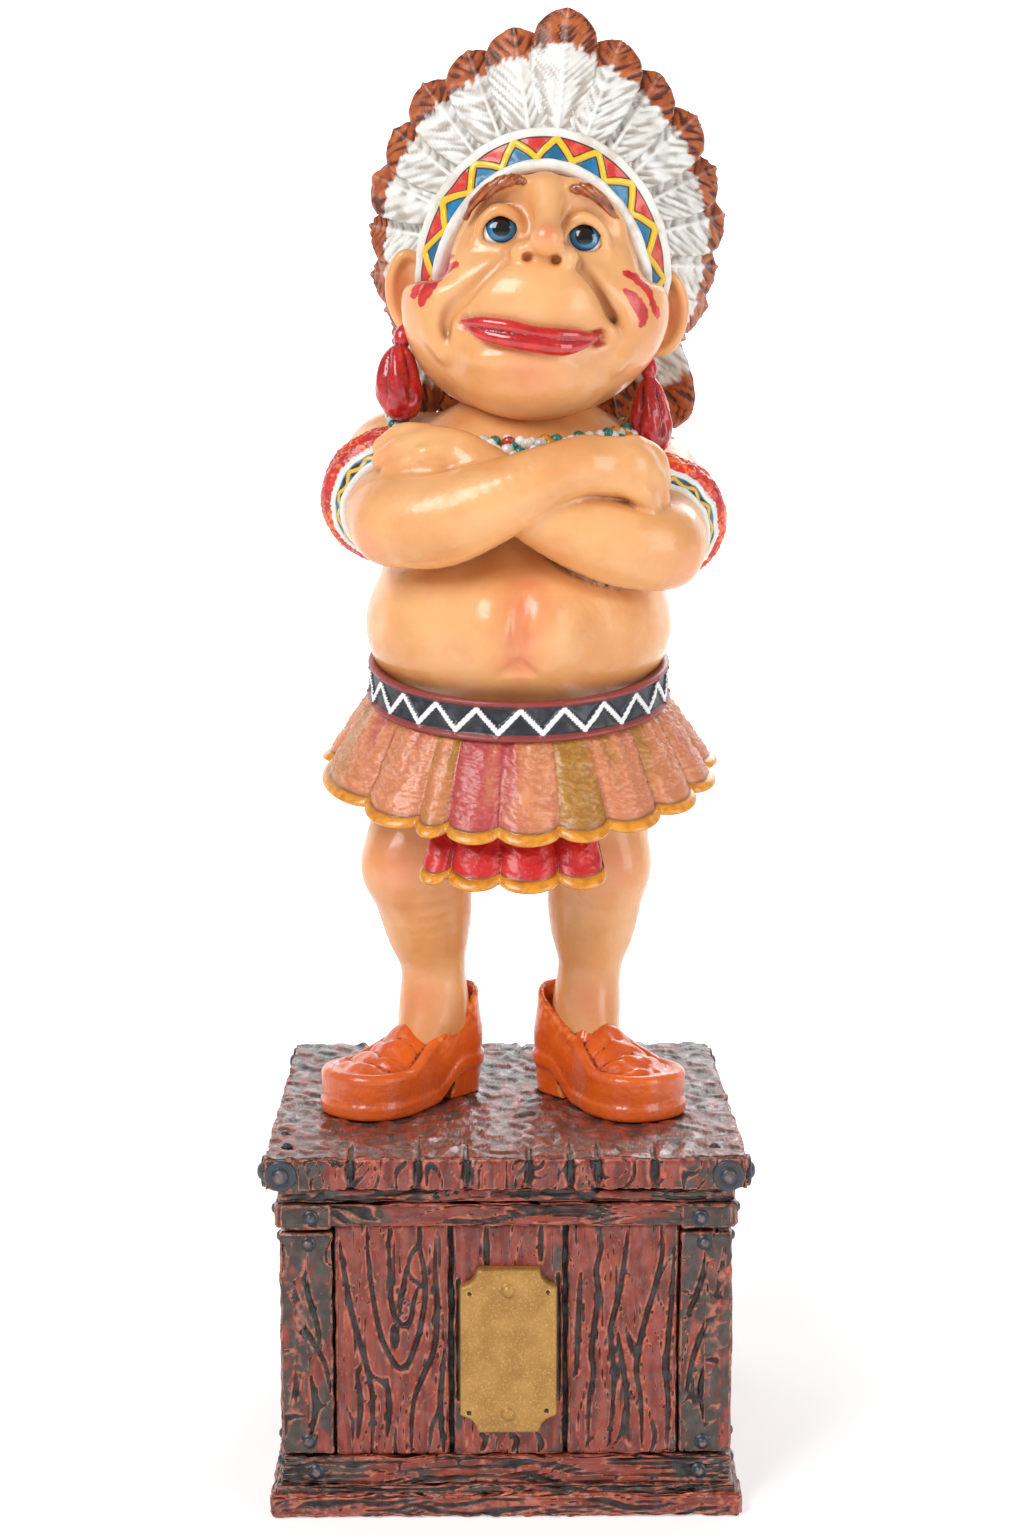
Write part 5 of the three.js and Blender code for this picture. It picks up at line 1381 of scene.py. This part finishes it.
def feather(root, along, across, length, seed, curl=1.0, grid=BACK_GRID):
    """One feather's skin: out along its front, and back along its plain back, with values for its paint."""
    random = np.random.default_rng(seed)
    rows, columns = grid
    half = columns // 2
    s = np.linspace(0, 1, rows)[:, None]
    v = np.concatenate([np.linspace(-1, 1, half + 8), np.linspace(1, -1, half - 8 + 2)[1:-1]])[None]
    columns = v.shape[1]
    front = (np.arange(columns) < half + 8)[None]
    width = 0.34 + 0.66 * np.sin(np.clip(s, 0, 0.72) / 0.72 * math.pi / 2) ** 0.8
    tip = np.clip((s - 0.66) / 0.34, 0, 1)
    width = width * np.sqrt(np.clip(1 - tip ** 2.6, 0.004, 1))
    lobes = 0.035 * np.abs(np.sin(9 * s * math.pi + random.uniform(0, 3)))
    width = width * (1 - lobes * (s > 0.5)) * FEATHER_WIDE / 2
    slant = s * length - np.abs(v) * width * 1.1
    barb = waves(slant * 1.0, v * 2.2 * np.sign(v), 1.6, seed, 8)
    comb = np.clip(0.5 + 0.55 * barb, 0, 1)
    shaft = np.exp(-(v * width / 0.34) ** 2) * (1 - 0.5 * s)
    brown = np.clip((s + 0.025 * waves(v * width, s * 3, 1.3, seed + 1) + 0.05 * np.abs(v) - 0.72) / 0.01, 0, 1)
    thick = FEATHER_THICK / 2 * np.sqrt(np.clip(1 - v ** 2, 0, 1)) * np.minimum(1, width)
    groove = 0.42 * (1 - comb) * (1 - shaft) * np.clip((1 - np.abs(v)) * 5, 0, 1)
    rise = np.where(front, thick + 0.5 * shaft - groove, -thick)
    facing = np.cross(across, along)
    facing = facing * (1 if facing[1] < 0 else -1)
    bend = 0.4 * random.uniform(-1, 1) * s * s
    points = root + s[..., None] * length * along + (v * width + bend)[..., None] * across
    points = points + (rise - curl * s * s + 0.5 * (1 - v ** 2) * s)[..., None] * facing
    fields = {
        "brown": brown, "shaft": np.broadcast_to(shaft, rise.shape), "groove": (1 - comb) * front,
        "root": np.broadcast_to(1 - s, rise.shape),
    }
    return points.reshape(-1, 3), grid_faces(rows, columns, False), {k: np.broadcast_to(f, rise.shape).ravel() for k, f in fields.items()}


plume = Finish("feather_paint", Roughness=0.4, Coat_Weight=0.15)
white = plume.mix(plume.noise(0.3, 3).over(0.35, 0.75), (0.8, 0.79, 0.76), (0.66, 0.63, 0.58))
wash = (plume.field("groove") * 0.8 + plume.field("root") * 0.35 + (plume.noise(0.5, 4) - 0.5) * 0.8).over(0.4, 1.1)
colour = plume.mix(wash * 0.8, white, (0.3, 0.24, 0.18))
rust = plume.mix(plume.noise(0.5, 3).over(0.35, 0.7), (0.48, 0.115, 0.022), (0.3, 0.055, 0.012))
rust = plume.mix(plume.field("groove").over(0.45, 0.9), rust, (0.1, 0.016, 0.006))
colour = plume.mix(plume.field("brown"), colour, rust)
colour = plume.mix(plume.field("shaft").over(0.3, 0.7) * (1 - 0.6 * plume.field("brown")), colour, (0.82, 0.8, 0.75))
colour = plume.mix(plume.specks(3.7, 0.12), colour, (0.03, 0.02, 0.015))
plume.drive(Base_Color=colour, Roughness=0.35 + 0.25 * plume.noise(0.8, 3), Normal=plume.bump(plume.noise(1.8, 4), 0.14, 0.6))
fan = []
for k in sorted(range(-FAN_SIDE, FAN_SIDE + 1), key=lambda k: -abs(k)):
    turn = k * FAN_STEP
    out = crown(turn, 10.0) - crown(turn, 0.0)
    out[1] = 0
    out /= np.linalg.norm(out)
    sweep = math.radians(12 + min(1, abs(turn) / math.radians(100)) * 50)
    along = out * math.cos(sweep) + np.array([0, math.sin(sweep), 0])
    across = np.cross(along, (0, -1, 0))
    across /= np.linalg.norm(across)
    root = crown(turn, -1.0, -0.4 + 0.7 * (k % 2))
    length = FEATHER_LONG * (1.12 if k == 0 else 1)
    fan.append(feather(root, along, across, length, 700 + k, grid=FAN_GRID))
points, faces, fields = gather(fan)
fit(add_piece("feather_fan", on_lid(points), faces, plume, fields), "figure")

trailer = []
for k in sorted(range(TRAILER), key=lambda k: abs(k - (TRAILER - 1) / 2), reverse=True):
    side = (k - (TRAILER - 1) / 2) / ((TRAILER - 1) / 2)
    root = np.array([6 + 14 * side, 16.6 - 6 * side * side, 134])
    along = np.array([0.34 * side, 0.16, -1.0])
    along /= np.linalg.norm(along)
    across = np.cross(along, (side * 0.5, 1, 0))
    across /= np.linalg.norm(across)
    trailer.append(feather(root, along, across, 27, 740 + k, curl=-1.2))
for row, (count, spread, height, length) in enumerate(((7, 1.25, 145.5, 15), (6, 1.0, 139.5, 15))):
    for k in range(count):
        side = (k - (count - 1) / 2) / ((count - 1) / 2)
        root = np.array([6.1 + 10.5 * spread * side, 16.2 + 1.2 * row - 5 * side * side, height - 3 * side * side])
        along = np.array([0.5 * side, 0.3, -1.0])
        along /= np.linalg.norm(along)
        across = np.cross(along, (side * 0.6, 1, 0.2))
        across /= np.linalg.norm(across)
        trailer.append(feather(root, along, across, length, 760 + 10 * row + k, curl=-0.6))
for k in range(ROOF):
    lean = math.radians(120 * k / (ROOF - 1) - 60)
    out = np.array([math.sin(lean), 0, math.cos(lean)])
    root = np.array([CROWN_AT[0], 3.5, CROWN_AT[1]]) + out * (HEAD_ARCH[0] + 0.8)
    along = np.array([0, 1, 0]) - 0.04 * out
    along /= np.linalg.norm(along)
    trailer.append(feather(root, along, np.cross(along, out), 14, 790 + k, curl=-0.6))
points, faces, fields = gather(trailer)
fit(add_piece("feather_trailer", on_lid(points), faces, plume, fields), "figure")

# The tassels: a glossy red bunch of cord hanging by each ear from a small round knot, cast with the head.
TASSELS = {
    "right": [(-15.2, -2.4, 124.2, 0.6), (-15.8, -3.6, 122.6, 1.5), (-16.2, -4, 120.9, 0.95), (-16.5, -4.2, 118.4, 2.7), (-16.6, -4.2, 115, 3.7), (-16, -4.2, 112.6, 3.2), (-15.8, -4.2, 111.6, 1)],
    "left": [(22.2, -2.6, 119.6, 0.6), (22.6, -3.8, 117.6, 1.4), (22.7, -4, 116, 0.95), (22.8, -4.2, 113.4, 2.3), (22.9, -4.2, 109.4, 3.4), (23.2, -4.2, 107.2, 3), (23.3, -4.2, 106.2, 1)],
}
tassel_paint = Finish("tassel_paint", Roughness=0.2, Coat_Weight=0.7)
colour = tassel_paint.mix(tassel_paint.noise(0.35, 4).over(0.35, 0.7), (0.52, 0.008, 0.012), (0.32, 0.003, 0.006))
# Painted shade in the creases between the cords.
colour = tassel_paint.mix(tassel_paint.field("crease").over(0.2, 0.85), colour, (0.05, 0.0006, 0.001))
tassel_paint.drive(Base_Color=colour, Roughness=0.18 + 0.2 * tassel_paint.noise(0.8, 3),
                   Normal=tassel_paint.bump(tassel_paint.noise(1.2, 4), 0.2, 0.5))


def tassel_field(stations):
    line = spline(stations, 4)

    def field(p):
        whole = limb(p, stations, 4)
        z = p[:, 2]
        x = np.interp(z, line[::-1, 2], line[::-1, 0])
        y = np.interp(z, line[::-1, 2], line[::-1, 1])
        turn = np.arctan2(p[:, 1] - y, p[:, 0] - x)
        knot = stations[2][2]
        fold = np.abs(np.sin(2.5 * turn + 0.9 * np.sin((z - knot) / 3))) ** 0.6
        fine = 0.12 * np.sin(11 * turn + z)
        depth = np.clip((knot + 0.3 - z) / 2.5, 0, 1) * np.clip((z - stations[-1][2] + 0.5) / 2, 0, 1)
        return whole + depth * (0.85 * (1 - fold) + fine * 0.6)
    return field


for side, stations in TASSELS.items():
    low = np.min(stations, axis=0)[:3] - 4.4
    high = np.max(stations, axis=0)[:3] + 4.4
    points, faces, way, fields = modelled(tassel_field(stations), low, high, 0.32)
    fit(add_piece("tassel_" + side, on_lid(points), faces, tassel_paint, fields), "figure")

# The necklace: strings of round beads, white, teal, amber and a few red, cast on the collar.
STRING_MIDDLE, STRING_HALF = (2.4, 1.5), (20.2, 19)
STRING_TURNS, STRING_HEIGHTS = (-180, -110, -80, -60, -30, 0, 30, 60, 80, 110, 180), (
    114.5, 113, 111.4, 109, 107.4, 106.8, 107.4, 108.8, 110.6, 112.6, 114.5)
BEAD_ROWS, BEADS_ROUND, BEAD_RADIUS, BEAD_PITCH = 4, 62, 1.0, 1.35
BEAD_COLOURS = {
    "white": (0.78, 0.76, 0.7), "teal": (0.012, 0.2, 0.15), "amber": (0.66, 0.26, 0.012), "red": (0.52, 0.03, 0.015),
}
random = np.random.default_rng(810)
beads = {colour: [] for colour in BEAD_COLOURS}
BEAD_GRID = (7, 10)
lean = np.linspace(0.12, math.pi - 0.12, BEAD_GRID[0])[:, None]
turn = np.linspace(0, 2 * math.pi, BEAD_GRID[1], endpoint=False)[None]
lean, turn = np.broadcast_arrays(lean, turn)
bead = np.stack([np.sin(lean) * np.cos(turn), np.sin(lean) * np.sin(turn), np.cos(lean)], -1).reshape(-1, 3)
for row in range(BEAD_ROWS):
    for k in range(BEADS_ROUND):
        turn = 2 * math.pi * (k + 0.5 * (row % 2) + random.uniform(-0.15, 0.15)) / BEADS_ROUND
        height = np.interp(math.degrees(turn + math.pi) % 360 - 180, STRING_TURNS, STRING_HEIGHTS)
        x = STRING_MIDDLE[0] + math.sin(turn) * STRING_HALF[0]
        y = STRING_MIDDLE[1] - math.cos(turn) * STRING_HALF[1]
        z = height + BEAD_PITCH * (1.2 - row) + random.uniform(-0.25, 0.25)
        size = BEAD_RADIUS * random.uniform(0.82, 1.12)
        colour = random.choice(list(BEAD_COLOURS), p=[0.5, 0.24, 0.2, 0.06])
        shape = bead * size * np.array([1, 1, random.uniform(0.85, 1)])
        beads[colour].append((shape, np.array([x, y, z]), size))
for colour, parts in beads.items():
    paint = Finish(colour + "_bead_paint", Roughness=0.2, Coat_Weight=0.5)
    base = BEAD_COLOURS[colour]
    tone = paint.mix(paint.noise(0.7, 3).over(0.35, 0.7), base, tuple(0.55 * v for v in base))
    paint.drive(Base_Color=tone, Roughness=0.15 + 0.3 * paint.noise(1.2, 3), Normal=paint.bump(paint.noise(2, 4), 0.15, 0.5))
    spots, sizes = np.array([part[1] for part in parts]), np.array([part[2] for part in parts])
    for _ in range(4):
        here, way = slope(trunk_field, spots)
        way /= np.linalg.norm(way, axis=1, keepdims=True)
        spots = spots - way * np.clip(here - 0.55 * sizes, -2, 2)[:, None]
    around = grid_faces(*BEAD_GRID, False)[:, ::-1]
    strung = [(shape + spot, around, {}) for (shape, _, _), spot in zip(parts, spots)]
    points, faces, fields = gather(strung)
    fit(add_piece("beads_" + colour, on_lid(points), faces, paint), "figure")
